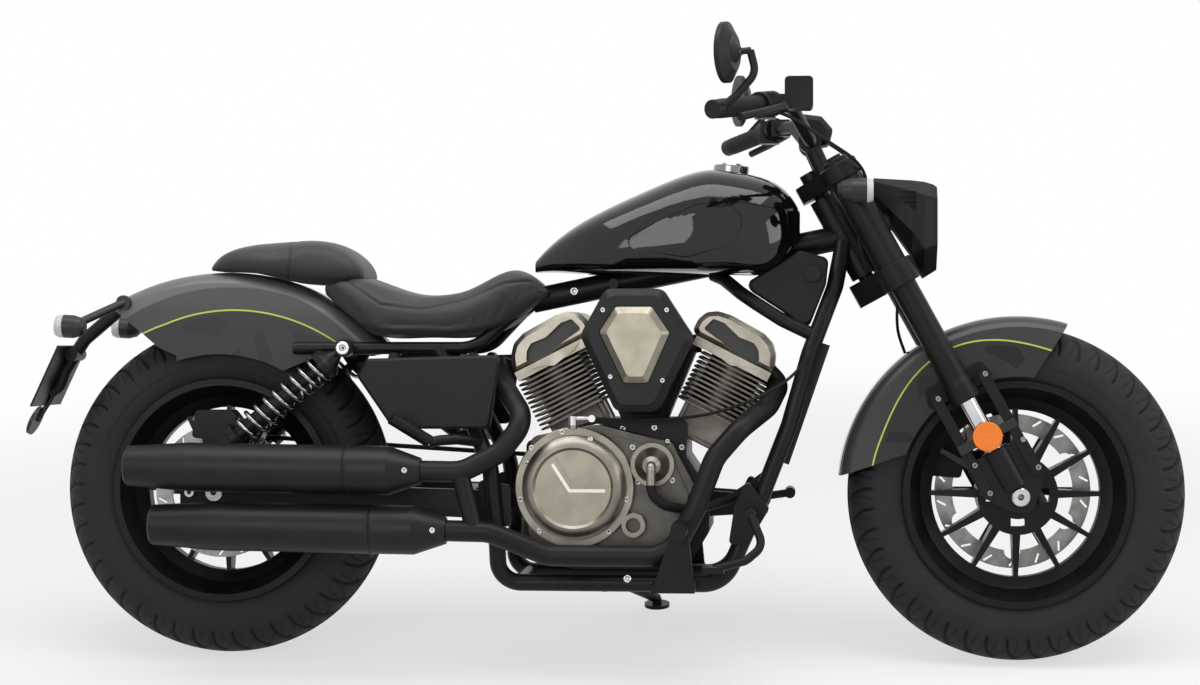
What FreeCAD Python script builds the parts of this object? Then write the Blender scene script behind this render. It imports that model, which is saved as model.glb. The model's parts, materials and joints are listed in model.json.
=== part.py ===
"""Cruiser motorcycle with an air-finned V-twin, parked on its side stand.

The machine is drawn upright: X forward from the rear axle, Y to the rider's left, Z up from the ground,
in millimetres. At the end every piece is leaned over on to the side stand and moved so that the origin is
the middle of the whole machine's footprint, on the ground.
"""
import FreeCAD
import Part
import math
import os

OUT_FOLDER = "parts"

# Driving sizes of the whole machine
WHEELBASE = 1530.0
FRONT_TYRE_RADIUS = 320.0
FRONT_TYRE_HALF = 65.0
REAR_TYRE_RADIUS = 322.0
REAR_TYRE_HALF = 75.0
RAKE = 28.7
FORK_SETBACK = 50.0
FORK_HALF = 108.0
PARKED_LEAN = 11.0
CRANK_X = 820.0
CRANK_Z = 215.0
PIVOT_X = 548.0
PIVOT_Z = 300.0
RAIL_Y = 114.0
RAIL_Z = 598.0
CRADLE_Y = 118.0
CRADLE_Z = 152.0

# Clearances, overruns and broken edges shared by all pieces
SEAT_GAP = 0.3
RUNNING_GAP = 0.5
OVERRUN = 40.0
EDGE_BREAK = 2.0
ARC_REACH_SHARE = 0.45

ORIGIN = FreeCAD.Vector(0, 0, 0)
ALONG = FreeCAD.Vector(1, 0, 0)
ACROSS = FreeCAD.Vector(0, 1, 0)
UP = FreeCAD.Vector(0, 0, 1)
REAR_AXLE = FreeCAD.Vector(0, 0, REAR_TYRE_RADIUS)
FRONT_AXLE = FreeCAD.Vector(WHEELBASE, 0, FRONT_TYRE_RADIUS)
PIVOT = FreeCAD.Vector(PIVOT_X, 0, PIVOT_Z)
CRANK = FreeCAD.Vector(CRANK_X, 0, CRANK_Z)

nodes = {}


def vec(x, y, z):
    return FreeCAD.Vector(x, y, z)


def fuse(shapes):
    """One solid from pieces that overlap, with the seams in flat faces taken out."""
    return shapes[0].multiFuse(shapes[1:]).removeSplitter()


def cut(shape, tools):
    return shape.cut(Part.makeCompound(tools))


def rod(start, end, radius):
    """A round bar between two points."""
    return Part.makeCylinder(radius, (end - start).Length, start, end - start)


def cross_rod(x, z, y_from, y_to, radius):
    """A round bar that runs across the machine."""
    return rod(vec(x, y_from, z), vec(x, y_to, z), radius)


def block(low, high):
    size = high - low
    return Part.makeBox(size.x, size.y, size.z, low)


def mirrored(shape):
    """The same piece on the other side of the machine."""
    return shape.mirror(ORIGIN, ACROSS)


def pair(shape):
    return Part.makeCompound([shape, mirrored(shape)])


def corner_arc(before, corner, after, bend):
    """Start, middle and end of the arc at a corner, no larger than its runs allow."""
    run_in = corner - before
    run_out = after - corner
    half_turn = run_in.getAngle(run_out) / 2
    reach = min(bend * math.tan(half_turn), ARC_REACH_SHARE * min(run_in.Length, run_out.Length))
    radius = reach / math.tan(half_turn)
    run_in.normalize()
    run_out.normalize()
    inward = run_out - run_in
    inward.normalize()
    middle = corner + inward * (radius / math.cos(half_turn) - radius)
    return corner - run_in * reach, middle, corner + run_out * reach


def bent_path(points, bend):
    """Straight runs joined by tangent arcs."""
    edges = []
    start = points[0]
    for before, corner, after in zip(points, points[1:], points[2:]):
        first, middle, last = corner_arc(before, corner, after, bend)
        edges.append(Part.LineSegment(start, first).toShape())
        edges.append(Part.Arc(first, middle, last).toShape())
        start = last
    edges.append(Part.LineSegment(start, points[-1]).toShape())
    return Part.Wire(edges)


def closed_path(points, bend):
    """A closed outline with every corner rounded."""
    count = len(points)
    arcs = [corner_arc(points[index - 1], points[index], points[(index + 1) % count], bend)
            for index in range(count)]
    edges = []
    for index in range(count):
        first, middle, last = arcs[index]
        edges.append(Part.Arc(first, middle, last).toShape())
        edges.append(Part.LineSegment(last, arcs[(index + 1) % count][0]).toShape())
    return Part.Wire(edges)


def pipe(points, radius, bend):
    """A round tube along straight runs and arcs."""
    ring = Part.Wire(Part.makeCircle(radius, points[0], points[1] - points[0]))
    return bent_path(points, bend).makePipeShell([ring], True, False)


def outlined(shares, x, z, length, height):
    """Outline points (x, z) from shares of a length and a height, from one corner."""
    return [(x + along * length, z + up * height) for along, up in shares]


def side_plate(outline, y_from, y_to, bend=0.0):
    """A plate with its outline given as (x, z), as thick as the two y values say."""
    points = [vec(x, y_from, z) for x, z in outline]
    edge = closed_path(points, bend) if bend else Part.makePolygon(points + points[:1])
    return Part.Face(edge).extrude(ACROSS * (y_to - y_from))


def inset(outline, trim):
    """The same outline with every side moved inward."""
    turn = sum(x1 * z2 - x2 * z1 for (x1, z1), (x2, z2) in zip(outline, outline[1:] + outline[:1]))
    moved = []
    for index, (x, z) in enumerate(outline):
        normals = []
        for start, end in ((outline[index - 1], (x, z)), ((x, z), outline[(index + 1) % len(outline)])):
            side = vec(end[0] - start[0], 0, end[1] - start[1])
            side.normalize()
            normals.append(vec(-side.z, 0, side.x) * math.copysign(trim, turn))
        spread = 1 + normals[0].dot(normals[1]) / (trim * trim)
        move = (normals[0] + normals[1]) * (1 / spread)
        moved.append((x + move.x, z + move.z))
    return moved


def bevelled_plate(outline, y_from, y_to, bend, bevel):
    """A side plate whose face at y_to has bevelled edges."""
    y_bevel = y_to - math.copysign(bevel, y_to - y_from)
    wires = [closed_path([vec(x, y, z) for x, z in points], bend)
             for y, points in ((y_bevel, outline), (y_to, inset(outline, bevel)))]
    return side_plate(outline, y_from, y_bevel, bend).fuse(Part.makeLoft(wires, True, True))


def from_shares(origin, shares, size):
    """Points given as shares of one size from an origin."""
    return [origin + vec(x * size, y * size, z * size) for x, y, z in shares]


def beyond(first, last, reach, half):
    """A block across the machine on the left of the way from first to last, seen from the right."""
    way = last - first
    way.normalize()
    left = way.cross(ACROSS)
    near, far = first - way * reach, last + way * reach
    points = [near, far, far + left * reach, near + left * reach]
    points = [point - ACROSS * half for point in points]
    return Part.Face(Part.makePolygon(points + points[:1])).extrude(ACROSS * (2 * half))


def polar(centre, radius, degrees):
    """A point about a lateral axis, measured up from straight ahead."""
    angle = math.radians(degrees)
    return centre + ALONG * (radius * math.cos(angle)) + UP * (radius * math.sin(angle))


def turned(profile, centre, start_angle=0.0, sweep=360.0):
    """A profile of (y, radius) points and arc middles turned about a lateral axis.

    A point written as ("arc", y, radius) is the middle of an arc between its neighbours."""
    edges = []
    count = len(profile)
    index = 0
    while index < count:
        here = profile[index]
        after = profile[(index + 1) % count]
        if after[0] == "arc":
            last = profile[(index + 2) % count]
            edges.append(Part.Arc(vec(here[1], here[0], 0), vec(after[2], after[1], 0),
                                  vec(last[1], last[0], 0)).toShape())
            index += 2
        else:
            edges.append(Part.LineSegment(vec(here[1], here[0], 0), vec(after[1], after[0], 0)).toShape())
            index += 1
    face = Part.Face(Part.Wire(edges))
    face.rotate(ORIGIN, ACROSS, -start_angle)
    solid = face.revolve(ORIGIN, ACROSS * -1, sweep)
    solid.translate(centre)
    return solid


def spun(profile, start, direction):
    """A profile of (distance, radius) points turned about an axis through start."""
    points = [vec(radius, 0, distance) for distance, radius in profile]
    solid = Part.Face(Part.makePolygon(points + points[:1])).revolve(ORIGIN, UP, 360)
    solid.Placement = FreeCAD.Placement(start, FreeCAD.Rotation(UP, direction))
    return solid


def ring_of(shape, count, centre, first=0.0):
    """Copies of a piece at equal steps about a lateral axis."""
    copies = []
    for step in range(count):
        copy = shape.copy()
        copy.rotate(centre, ACROSS, first + step * 360.0 / count)
        copies.append(copy)
    return copies


def body_section(x, half, low, high, waist_share, upper_power, lower_power):
    """A smooth closed section across the machine, widest at its waist."""
    waist = low + waist_share * (high - low)
    steps = 16
    points = []
    for step in range(steps):
        angle = 2 * math.pi * (step + 0.5) / steps
        side = math.cos(angle)
        rise = math.sin(angle)
        power = upper_power if rise > 0 else lower_power
        reach = high - waist if rise > 0 else waist - low
        y = half * math.copysign(abs(side) ** power, side)
        z = waist + reach * math.copysign(abs(rise) ** power, rise)
        points.append(vec(x, y, z))
    curve = Part.BSplineCurve()
    curve.interpolate(points, PeriodicFlag=True)
    return Part.Wire(curve.toShape())


def body_loft(start, length, half, base, height, station_shares, waist_share, upper_power, lower_power):
    """A moulded body lofted through sections, each (along, width, underside, top) as shares."""
    wires = []
    for along, width, under, top in station_shares:
        wires.append(body_section(start + along * length, width * half, base + under * height,
                                  base + top * height, waist_share, upper_power, lower_power))
    return Part.makeLoft(wires, True, False)


# Fork frame: s runs up the fork from the front axle, n forward of the fork, y to the left
FORK_UP = vec(-math.sin(math.radians(RAKE)), 0, math.cos(math.radians(RAKE)))
FORK_AHEAD = vec(math.cos(math.radians(RAKE)), 0, math.sin(math.radians(RAKE)))
FORK_PLACE = FreeCAD.Placement(FRONT_AXLE, FreeCAD.Rotation(ACROSS, -RAKE))


def fork_point(s, n, y):
    return FRONT_AXLE + FORK_UP * s + FORK_AHEAD * n + ACROSS * y


def on_fork(shape):
    """Moves a piece drawn with Z up the fork and X forward of it to its place."""
    shape.Placement = FORK_PLACE.multiply(shape.Placement)
    return shape


# Tyres: crown, shoulder and bead of each, and the wall all round
RIM_SEAT_RADIUS = 203.0
RIM_FLANGE_RADIUS = 216.0
TYRE_WALL = 12.0
TYRE_SHOULDER_SHARE = 0.93
TYRE_SHOULDER_DROP_SHARE = 0.36
TYRE_BULGE_DROP_SHARE = 0.62
TYRE_BEAD_SHARE = 0.80


def tyre(centre, radius, half):
    height = radius - RIM_SEAT_RADIUS
    shoulder = (half * TYRE_SHOULDER_SHARE, radius - height * TYRE_SHOULDER_DROP_SHARE)
    bulge = (half, radius - height * TYRE_BULGE_DROP_SHARE)
    bead = half * TYRE_BEAD_SHARE
    seat = RIM_SEAT_RADIUS + SEAT_GAP
    flange = RIM_FLANGE_RADIUS + SEAT_GAP
    inner_crown = radius - TYRE_WALL
    inner = half - TYRE_WALL
    profile = [
        (-bead, seat), (-bead, flange), (-bulge[0], bulge[1]), (-shoulder[0], shoulder[1]),
        ("arc", 0, radius), shoulder, bulge, (bead, flange), (bead, seat), (bead - TYRE_WALL, seat),
        (inner, bulge[1]), (inner / 2, inner_crown - TYRE_WALL / 2),
        (-inner / 2, inner_crown - TYRE_WALL / 2), (-inner, bulge[1]), (-bead + TYRE_WALL, seat),
    ]
    return turned(profile, centre)


# Cast wheels: twelve blade spokes between a cupped hub with windows and a dished rim
SPOKE_COUNT = 12
RIM_WALL = 9.0
RIM_WELL_RADIUS = 182.0
RIM_WELL_SHARE = 0.5
RIM_LIP = 12.0
RIM_WEB_RADIUS = 160.0
RIM_WEB_HALF = 14.0
HUB_RADIUS = 46.0
HUB_CUP_RADIUS = 76.0
HUB_CUP_WALL = 9.0
HUB_WINDOWS = 4
HUB_WINDOW_REACH = 52.0
HUB_WINDOW_LONG = 26.0
HUB_WINDOW_DEEP = 15.0
SPOKE_ROOT_HALF = 8.0
SPOKE_TIP_HALF = 3.5
SPOKE_ROOT_DEPTH = 30.0
SPOKE_TIP_DEPTH = 14.0
AXLE_RADIUS = 10.0
AXLE_BORE_RADIUS = 6.0
AXLE_CLEARANCE = 0.3


def spoke_end(x, half, depth):
    """The oblong section of a blade spoke at one end."""
    corners = [vec(x, -depth, -half), vec(x, depth, -half), vec(x, depth, half), vec(x, -depth, half)]
    return Part.makePolygon(corners + corners[:1])


def cast_wheel(centre, tyre_half, hub_half):
    """Rim, spokes and hub in one casting."""
    seat_half = tyre_half * TYRE_BEAD_SHARE
    well_half = seat_half * RIM_WELL_SHARE
    lip = seat_half + RIM_LIP
    shelf = seat_half + SEAT_GAP
    barrel = turned([
        (-lip, RIM_FLANGE_RADIUS), (-shelf, RIM_FLANGE_RADIUS), (-shelf, RIM_SEAT_RADIUS),
        (-well_half, RIM_SEAT_RADIUS), (-well_half + RIM_WALL, RIM_WELL_RADIUS + RIM_WALL),
        (well_half - RIM_WALL, RIM_WELL_RADIUS + RIM_WALL), (well_half, RIM_SEAT_RADIUS),
        (shelf, RIM_SEAT_RADIUS), (shelf, RIM_FLANGE_RADIUS), (lip, RIM_FLANGE_RADIUS),
        (lip, RIM_SEAT_RADIUS), (well_half, RIM_WELL_RADIUS), (RIM_WEB_HALF, RIM_WEB_RADIUS),
        (-RIM_WEB_HALF, RIM_WEB_RADIUS), (-well_half, RIM_WELL_RADIUS), (-lip, RIM_SEAT_RADIUS),
    ], centre)
    hub = cross_rod(centre.x, centre.z, -hub_half, hub_half, HUB_RADIUS)
    cup = cross_rod(centre.x, centre.z, -hub_half, SPOKE_ROOT_DEPTH, HUB_CUP_RADIUS)
    cup = cup.cut(cross_rod(centre.x, centre.z, -hub_half + HUB_CUP_WALL, OVERRUN, HUB_CUP_RADIUS
                            - HUB_CUP_WALL))
    window = block(vec(HUB_WINDOW_REACH - HUB_WINDOW_DEEP / 2, -hub_half - OVERRUN, -HUB_WINDOW_LONG / 2),
                   vec(HUB_WINDOW_REACH + HUB_WINDOW_DEEP / 2, -hub_half + HUB_CUP_WALL + EDGE_BREAK,
                       HUB_WINDOW_LONG / 2))
    window.translate(centre)
    cup = cut(cup, ring_of(window, HUB_WINDOWS, centre))
    spoke = Part.makeLoft([spoke_end(HUB_CUP_RADIUS - HUB_CUP_WALL / 2, SPOKE_ROOT_HALF, SPOKE_ROOT_DEPTH),
                           spoke_end(RIM_WELL_RADIUS - SPOKE_TIP_HALF, SPOKE_TIP_HALF,
                                     SPOKE_TIP_DEPTH)], True, True)
    spoke.translate(centre)
    wheel = fuse([barrel, cup, hub] + ring_of(spoke, SPOKE_COUNT, centre))
    bore = cross_rod(centre.x, centre.z, -hub_half - OVERRUN, hub_half + OVERRUN, AXLE_RADIUS
                     + AXLE_CLEARANCE)
    return wheel.cut(bore)


FRONT_HUB_HALF = 62.0
REAR_HUB_HALF = 70.0
nodes["front_tyre"] = tyre(FRONT_AXLE, FRONT_TYRE_RADIUS, FRONT_TYRE_HALF)
nodes["rear_tyre"] = tyre(REAR_AXLE, REAR_TYRE_RADIUS, REAR_TYRE_HALF)
nodes["front_wheel"] = cast_wheel(FRONT_AXLE, FRONT_TYRE_HALF, FRONT_HUB_HALF)
nodes["rear_wheel"] = cast_wheel(REAR_AXLE, REAR_TYRE_HALF, REAR_HUB_HALF)

# Brake discs: a slotted, scalloped ring on a six-armed carrier, bolted to the hub
DISC_THICK = 5.0
FRONT_DISC_RADIUS = 150.0
FRONT_DISC_TRACK = 34.0
REAR_DISC_RADIUS = 130.0
REAR_DISC_TRACK = 32.0
DISC_CARRIER_ARMS = 6
DISC_ARM_HALF = 8.0
DISC_SCALLOP_RADIUS = 16.0
DISC_SLOT_COUNT = 18
DISC_SLOT_LENGTH = 19.0
DISC_SLOT_HALF = 2.0
DISC_SLOT_TILT = 38.0


def brake_disc(centre, y_face, outward, radius, track):
    """A disc that sits on the hub's end face at y_face, outward is +1 to the left."""
    y_out = y_face + outward * (SEAT_GAP + DISC_THICK)
    y_in = y_face + outward * SEAT_GAP
    low, high = min(y_in, y_out), max(y_in, y_out)
    ring = cross_rod(centre.x, centre.z, low, high, radius)
    ring = ring.cut(cross_rod(centre.x, centre.z, low - OVERRUN, high + OVERRUN, radius - track))
    scallop = cross_rod(centre.x + radius - track, centre.z, low - OVERRUN, high + OVERRUN,
                        DISC_SCALLOP_RADIUS)
    ring = cut(ring, ring_of(scallop, DISC_CARRIER_ARMS, centre, 180.0 / DISC_CARRIER_ARMS))
    middle = cross_rod(centre.x, centre.z, low, high, HUB_RADIUS)
    arm = block(vec(centre.x, low, centre.z - DISC_ARM_HALF),
                vec(centre.x + radius - track / 2, high, centre.z + DISC_ARM_HALF))
    disc = fuse([ring, middle] + ring_of(arm, DISC_CARRIER_ARMS, centre))
    slot = block(vec(-DISC_SLOT_LENGTH / 2, low - OVERRUN, -DISC_SLOT_HALF),
                 vec(DISC_SLOT_LENGTH / 2, high + OVERRUN, DISC_SLOT_HALF))
    slot.rotate(ORIGIN, ACROSS, DISC_SLOT_TILT)
    slot.translate(centre + ALONG * (radius - track / 3))
    bore = cross_rod(centre.x, centre.z, low - OVERRUN, high + OVERRUN, AXLE_RADIUS + AXLE_CLEARANCE)
    return cut(disc, ring_of(slot, DISC_SLOT_COUNT, centre, 180.0 / DISC_SLOT_COUNT) + [bore])


nodes["front_disc"] = brake_disc(FRONT_AXLE, FRONT_HUB_HALF, 1, FRONT_DISC_RADIUS, FRONT_DISC_TRACK)
nodes["rear_disc"] = brake_disc(REAR_AXLE, -REAR_HUB_HALF, -1, REAR_DISC_RADIUS, REAR_DISC_TRACK)

# Belt drive on the left: pulleys on the wheel and on the gearbox shaft, and the belt round both
REAR_PULLEY_RADIUS = 95.0
FRONT_PULLEY_RADIUS = 45.0
BELT_WIDTH = 24.0
BELT_THICK = 8.0
BELT_CLEARANCE = 0.5
PULLEY_FLANGE = 3.0
PULLEY_FLANGE_RISE = 4.0
PULLEY_BOSS = 6.0
PULLEY_RIM = 10.0
PULLEY_WINDOWS = 6
PULLEY_WINDOW_RADIUS = 13.0
SHAFT_X = 607.0
SHAFT_Z = 335.0
SHAFT_RADIUS = 14.0
GEARBOX_SHAFT = vec(SHAFT_X, 0, SHAFT_Z)
BELT_Y = REAR_HUB_HALF + PULLEY_BOSS + PULLEY_FLANGE
BELT_LOW = BELT_Y + BELT_CLEARANCE
BELT_HIGH = BELT_LOW + BELT_WIDTH
PULLEY_OUT = BELT_HIGH + BELT_CLEARANCE + PULLEY_FLANGE


def pulley(centre, radius, bore):
    """A flanged belt pulley."""
    belt_out = BELT_HIGH + BELT_CLEARANCE
    rim = radius + PULLEY_FLANGE_RISE
    return turned([
        (BELT_Y - PULLEY_FLANGE, rim), (BELT_Y, rim), (BELT_Y, radius), (belt_out, radius), (belt_out, rim),
        (PULLEY_OUT, rim), (PULLEY_OUT, bore), (BELT_Y - PULLEY_FLANGE, bore),
    ], centre)


def rear_pulley():
    """The wheel's pulley: a boss against the hub, a thin web with windows and the toothed rim."""
    bore = AXLE_RADIUS + AXLE_CLEARANCE
    boss_in = REAR_HUB_HALF + SEAT_GAP
    wheel = pulley(REAR_AXLE, REAR_PULLEY_RADIUS, bore)
    hollow = cross_rod(0, REAR_AXLE.z, BELT_Y + PULLEY_RIM, PULLEY_OUT + OVERRUN, REAR_PULLEY_RADIUS
                       - PULLEY_RIM)
    boss = cross_rod(0, REAR_AXLE.z, boss_in, PULLEY_OUT, HUB_RADIUS)
    window = cross_rod((HUB_RADIUS + REAR_PULLEY_RADIUS - PULLEY_RIM) / 2, REAR_AXLE.z, boss_in,
                       PULLEY_OUT, PULLEY_WINDOW_RADIUS)
    wheel = fuse([cut(wheel, [hollow] + ring_of(window, PULLEY_WINDOWS, REAR_AXLE)), boss])
    return wheel.cut(cross_rod(0, REAR_AXLE.z, boss_in - OVERRUN, PULLEY_OUT + OVERRUN, bore))


def belt_loop(radius_rear, radius_front, low, high):
    """A solid stadium round both pulleys."""
    reach = GEARBOX_SHAFT - REAR_AXLE
    span = math.hypot(reach.x, reach.z)
    tilt = math.atan2(reach.z, reach.x)
    lean = math.asin((radius_rear - radius_front) / span)
    top = tilt + math.pi / 2 - lean
    bottom = tilt - math.pi / 2 + lean

    def at(centre, radius, angle):
        return vec(centre.x + radius * math.cos(angle), low, centre.z + radius * math.sin(angle))

    rear_top, rear_low = at(REAR_AXLE, radius_rear, top), at(REAR_AXLE, radius_rear, bottom)
    front_top, front_low = at(GEARBOX_SHAFT, radius_front, top), at(GEARBOX_SHAFT, radius_front, bottom)
    edges = [
        Part.LineSegment(rear_top, front_top).toShape(),
        Part.Arc(front_top, at(GEARBOX_SHAFT, radius_front, tilt), front_low).toShape(),
        Part.LineSegment(front_low, rear_low).toShape(),
        Part.Arc(rear_low, at(REAR_AXLE, radius_rear, tilt + math.pi), rear_top).toShape(),
    ]
    return Part.Face(Part.Wire(edges)).extrude(ACROSS * (high - low))


nodes["rear_pulley"] = rear_pulley()
nodes["front_pulley"] = pulley(GEARBOX_SHAFT, FRONT_PULLEY_RADIUS, SHAFT_RADIUS + SEAT_GAP)
belt_outer = belt_loop(REAR_PULLEY_RADIUS + BELT_CLEARANCE + BELT_THICK,
                       FRONT_PULLEY_RADIUS + BELT_CLEARANCE + BELT_THICK, BELT_LOW, BELT_HIGH)
belt_inner = belt_loop(REAR_PULLEY_RADIUS + BELT_CLEARANCE, FRONT_PULLEY_RADIUS + BELT_CLEARANCE,
                       BELT_LOW - OVERRUN, BELT_HIGH + OVERRUN)
nodes["drive_belt"] = belt_outer.cut(belt_inner)

# Axles: hollow, with a head outside each leg or arm, and spacers up to the hub
AXLE_HEAD_RADIUS = 17.0
AXLE_HEAD = 8.0
SPACER_RADIUS = 16.0
FORK_LUG_HALF = 17.0
ARM_INNER = 112.0
ARM_OUTER = 134.0
FORK_OUTER = FORK_HALF + FORK_LUG_HALF
FORK_INNER = FORK_HALF - FORK_LUG_HALF
FRONT_STOP_LEFT = FRONT_HUB_HALF + SEAT_GAP + DISC_THICK
REAR_STOP_RIGHT = REAR_HUB_HALF + SEAT_GAP + DISC_THICK


def axle(centre, half_span):
    """A hollow axle with a bevelled head at each end."""
    end = half_span + AXLE_HEAD
    heads = [turned([(side * (half_span + SEAT_GAP), 0), (side * (half_span + SEAT_GAP), AXLE_HEAD_RADIUS),
                     (side * (end - EDGE_BREAK), AXLE_HEAD_RADIUS), (side * end, AXLE_HEAD_RADIUS
                                                                     - EDGE_BREAK),
                     (side * end, 0)], centre) for side in (1, -1)]
    bar = fuse([cross_rod(centre.x, centre.z, -end, end, AXLE_RADIUS)] + heads)
    return bar.cut(cross_rod(centre.x, centre.z, -end - OVERRUN, end + OVERRUN, AXLE_BORE_RADIUS))


def spacer(centre, y_from, y_to):
    ring = cross_rod(centre.x, centre.z, y_from, y_to, SPACER_RADIUS)
    return ring.cut(cross_rod(centre.x, centre.z, y_from - OVERRUN, y_to + OVERRUN, AXLE_RADIUS
                              + AXLE_CLEARANCE))


nodes["front_axle"] = axle(FRONT_AXLE, FORK_OUTER)
nodes["rear_axle"] = axle(REAR_AXLE, ARM_OUTER)
nodes["front_spacers"] = Part.makeCompound([
    spacer(FRONT_AXLE, FRONT_STOP_LEFT + RUNNING_GAP, FORK_INNER - SEAT_GAP),
    spacer(FRONT_AXLE, -FORK_INNER + SEAT_GAP, -FRONT_HUB_HALF - RUNNING_GAP)])
nodes["rear_spacers"] = Part.makeCompound([
    spacer(REAR_AXLE, PULLEY_OUT + RUNNING_GAP, ARM_INNER - SEAT_GAP),
    spacer(REAR_AXLE, -ARM_INNER + SEAT_GAP, -REAR_STOP_RIGHT - RUNNING_GAP)])

# Fork legs, in the fork frame: casting at the axle, bright stanchion, outer tube up to the top yoke
STANCHION_RADIUS = 18.0
FORK_TUBE_RADIUS = 25.0
FORK_COVER_RADIUS = 29.0
COLLAR_LOW = 205.0
COLLAR_HIGH = 250.0
COLLAR_TAPER = 12.0
LOWER_YOKE_LOW = 452.0
LOWER_YOKE_HIGH = 498.0
UPPER_YOKE_LOW = 680.0
UPPER_YOKE_HIGH = 712.0
FORK_TOP = 722.0
FORK_CAP_RADIUS = 15.0
FORK_CAP = 6.0
CASTING_RADIUS = 28.0
CASTING_TOP = 100.0
LUG_RADIUS = 31.0
WING_REACH = 62.0
WING_LOW = 18.0
WING_HIGH = 98.0
WING_THICK = 12.0
WING_BEND = 10.0
STRUT_REACH = 50.0


def leg_axis(y, low, high, radius):
    return rod(vec(0, y, low), vec(0, y, high), radius)


def fork_tube(y):
    """Outer tube with a tapered collar at the bottom and a cover between the yokes."""
    mouth = STANCHION_RADIUS + SEAT_GAP
    cover_low, cover_high = LOWER_YOKE_HIGH + SEAT_GAP, UPPER_YOKE_LOW - SEAT_GAP
    return spun([
        (COLLAR_LOW, mouth), (COLLAR_LOW, FORK_COVER_RADIUS - EDGE_BREAK), (COLLAR_LOW + EDGE_BREAK,
                FORK_COVER_RADIUS),
        (COLLAR_HIGH - COLLAR_TAPER, FORK_COVER_RADIUS), (COLLAR_HIGH, FORK_TUBE_RADIUS), (cover_low,
                FORK_TUBE_RADIUS),
        (cover_low, FORK_COVER_RADIUS), (cover_high, FORK_COVER_RADIUS), (cover_high, FORK_TUBE_RADIUS),
        (FORK_TOP - EDGE_BREAK, FORK_TUBE_RADIUS), (FORK_TOP, FORK_TUBE_RADIUS - EDGE_BREAK), (FORK_TOP,
                FORK_CAP_RADIUS),
        (FORK_TOP + FORK_CAP, FORK_CAP_RADIUS), (FORK_TOP + FORK_CAP, 0), (COLLAR_HIGH, 0), (COLLAR_HIGH,
                mouth),
    ], vec(0, y, 0), UP)


def fork_casting(y):
    """Axle clamp with a wing each side that carries the fender struts."""
    side = math.copysign(1, y)
    low, high = sorted((y + side * FORK_LUG_HALF, y + side * (FORK_LUG_HALF - WING_THICK)))
    shoulder = LUG_RADIUS / 2
    wing = side_plate([(-WING_REACH, WING_HIGH), (-WING_REACH, WING_LOW + shoulder), (-LUG_RADIUS, -shoulder),
                       (LUG_RADIUS, -shoulder), (WING_REACH, WING_LOW), (WING_REACH,
                               WING_HIGH)], low, high, WING_BEND)
    lug = turned([(y - FORK_LUG_HALF, 0), (y - FORK_LUG_HALF, LUG_RADIUS - EDGE_BREAK),
                  (y - FORK_LUG_HALF + EDGE_BREAK, LUG_RADIUS),
                  (y + FORK_LUG_HALF - EDGE_BREAK, LUG_RADIUS), (y + FORK_LUG_HALF, LUG_RADIUS - EDGE_BREAK),
                  (y + FORK_LUG_HALF, 0)], ORIGIN)
    leg = spun([(AXLE_HEAD_RADIUS + EDGE_BREAK, 0), (AXLE_HEAD_RADIUS + EDGE_BREAK, CASTING_RADIUS),
                (CASTING_TOP - EDGE_BREAK, CASTING_RADIUS), (CASTING_TOP, CASTING_RADIUS
                                                             - EDGE_BREAK), (CASTING_TOP, 0)],
               vec(0, y, 0), UP)
    pinch = rod(vec(LUG_RADIUS, y, -LUG_RADIUS), vec(LUG_RADIUS, y, 0), AXLE_RADIUS)
    body = fuse([wing, lug, leg, pinch])
    return body.cut(rod(vec(0, y - OVERRUN, 0), vec(0, y + OVERRUN, 0), AXLE_RADIUS + SEAT_GAP))


nodes["fork_tubes"] = on_fork(Part.makeCompound([fork_tube(FORK_HALF), fork_tube(-FORK_HALF)]))
nodes["fork_stanchions"] = on_fork(Part.makeCompound([
    leg_axis(y, CASTING_TOP + SEAT_GAP, COLLAR_HIGH - SEAT_GAP, STANCHION_RADIUS) for y in (FORK_HALF,
            -FORK_HALF)]))
nodes["fork_castings"] = on_fork(Part.makeCompound([fork_casting(FORK_HALF), fork_casting(-FORK_HALF)]))

# Steering: yokes with their clamps, and the stem that turns in the frame's head
STEM_RADIUS = 15.0
HEAD_RADIUS = 27.0
HEAD_CLEARANCE = 0.3
HEAD_END_GAP = 6.0
YOKE_REAR = 88.0
YOKE_FRONT = 33.0
YOKE_SIDE = 32.0
YOKE_CLAMP_WALL = 8.0
YOKE_BEND = 14.0
STEM_TOP = 730.0
STEM_NUT_RADIUS = 20.0
HEAD_LOW = LOWER_YOKE_HIGH + HEAD_END_GAP
HEAD_HIGH = UPPER_YOKE_LOW - HEAD_END_GAP


def yoke(low, high):
    """A clamp plate round both fork tubes and the stem, and the holes for the tubes."""
    outline = [
        vec(-YOKE_REAR, -YOKE_SIDE, low), vec(-YOKE_FRONT, -FORK_HALF, low), vec(YOKE_FRONT, -FORK_HALF, low),
        vec(YOKE_FRONT / 2, 0, low), vec(YOKE_FRONT, FORK_HALF, low), vec(-YOKE_FRONT, FORK_HALF, low),
        vec(-YOKE_REAR, YOKE_SIDE, low),
    ]
    plate = Part.Face(closed_path(outline, YOKE_BEND)).extrude(UP * (high - low))
    clamps = [spun([(low, 0), (low, FORK_COVER_RADIUS + YOKE_CLAMP_WALL - EDGE_BREAK),
                    (low + EDGE_BREAK, FORK_COVER_RADIUS + YOKE_CLAMP_WALL),
                    (high - EDGE_BREAK, FORK_COVER_RADIUS + YOKE_CLAMP_WALL),
                    (high, FORK_COVER_RADIUS + YOKE_CLAMP_WALL - EDGE_BREAK), (high, 0)], vec(0, y, 0), UP)
              for y in (FORK_HALF, -FORK_HALF)]
    holes = [leg_axis(y, low - OVERRUN, high + OVERRUN, FORK_TUBE_RADIUS + SEAT_GAP)
             for y in (FORK_HALF, -FORK_HALF)]
    return cut(fuse([plate] + clamps), holes)


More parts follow.
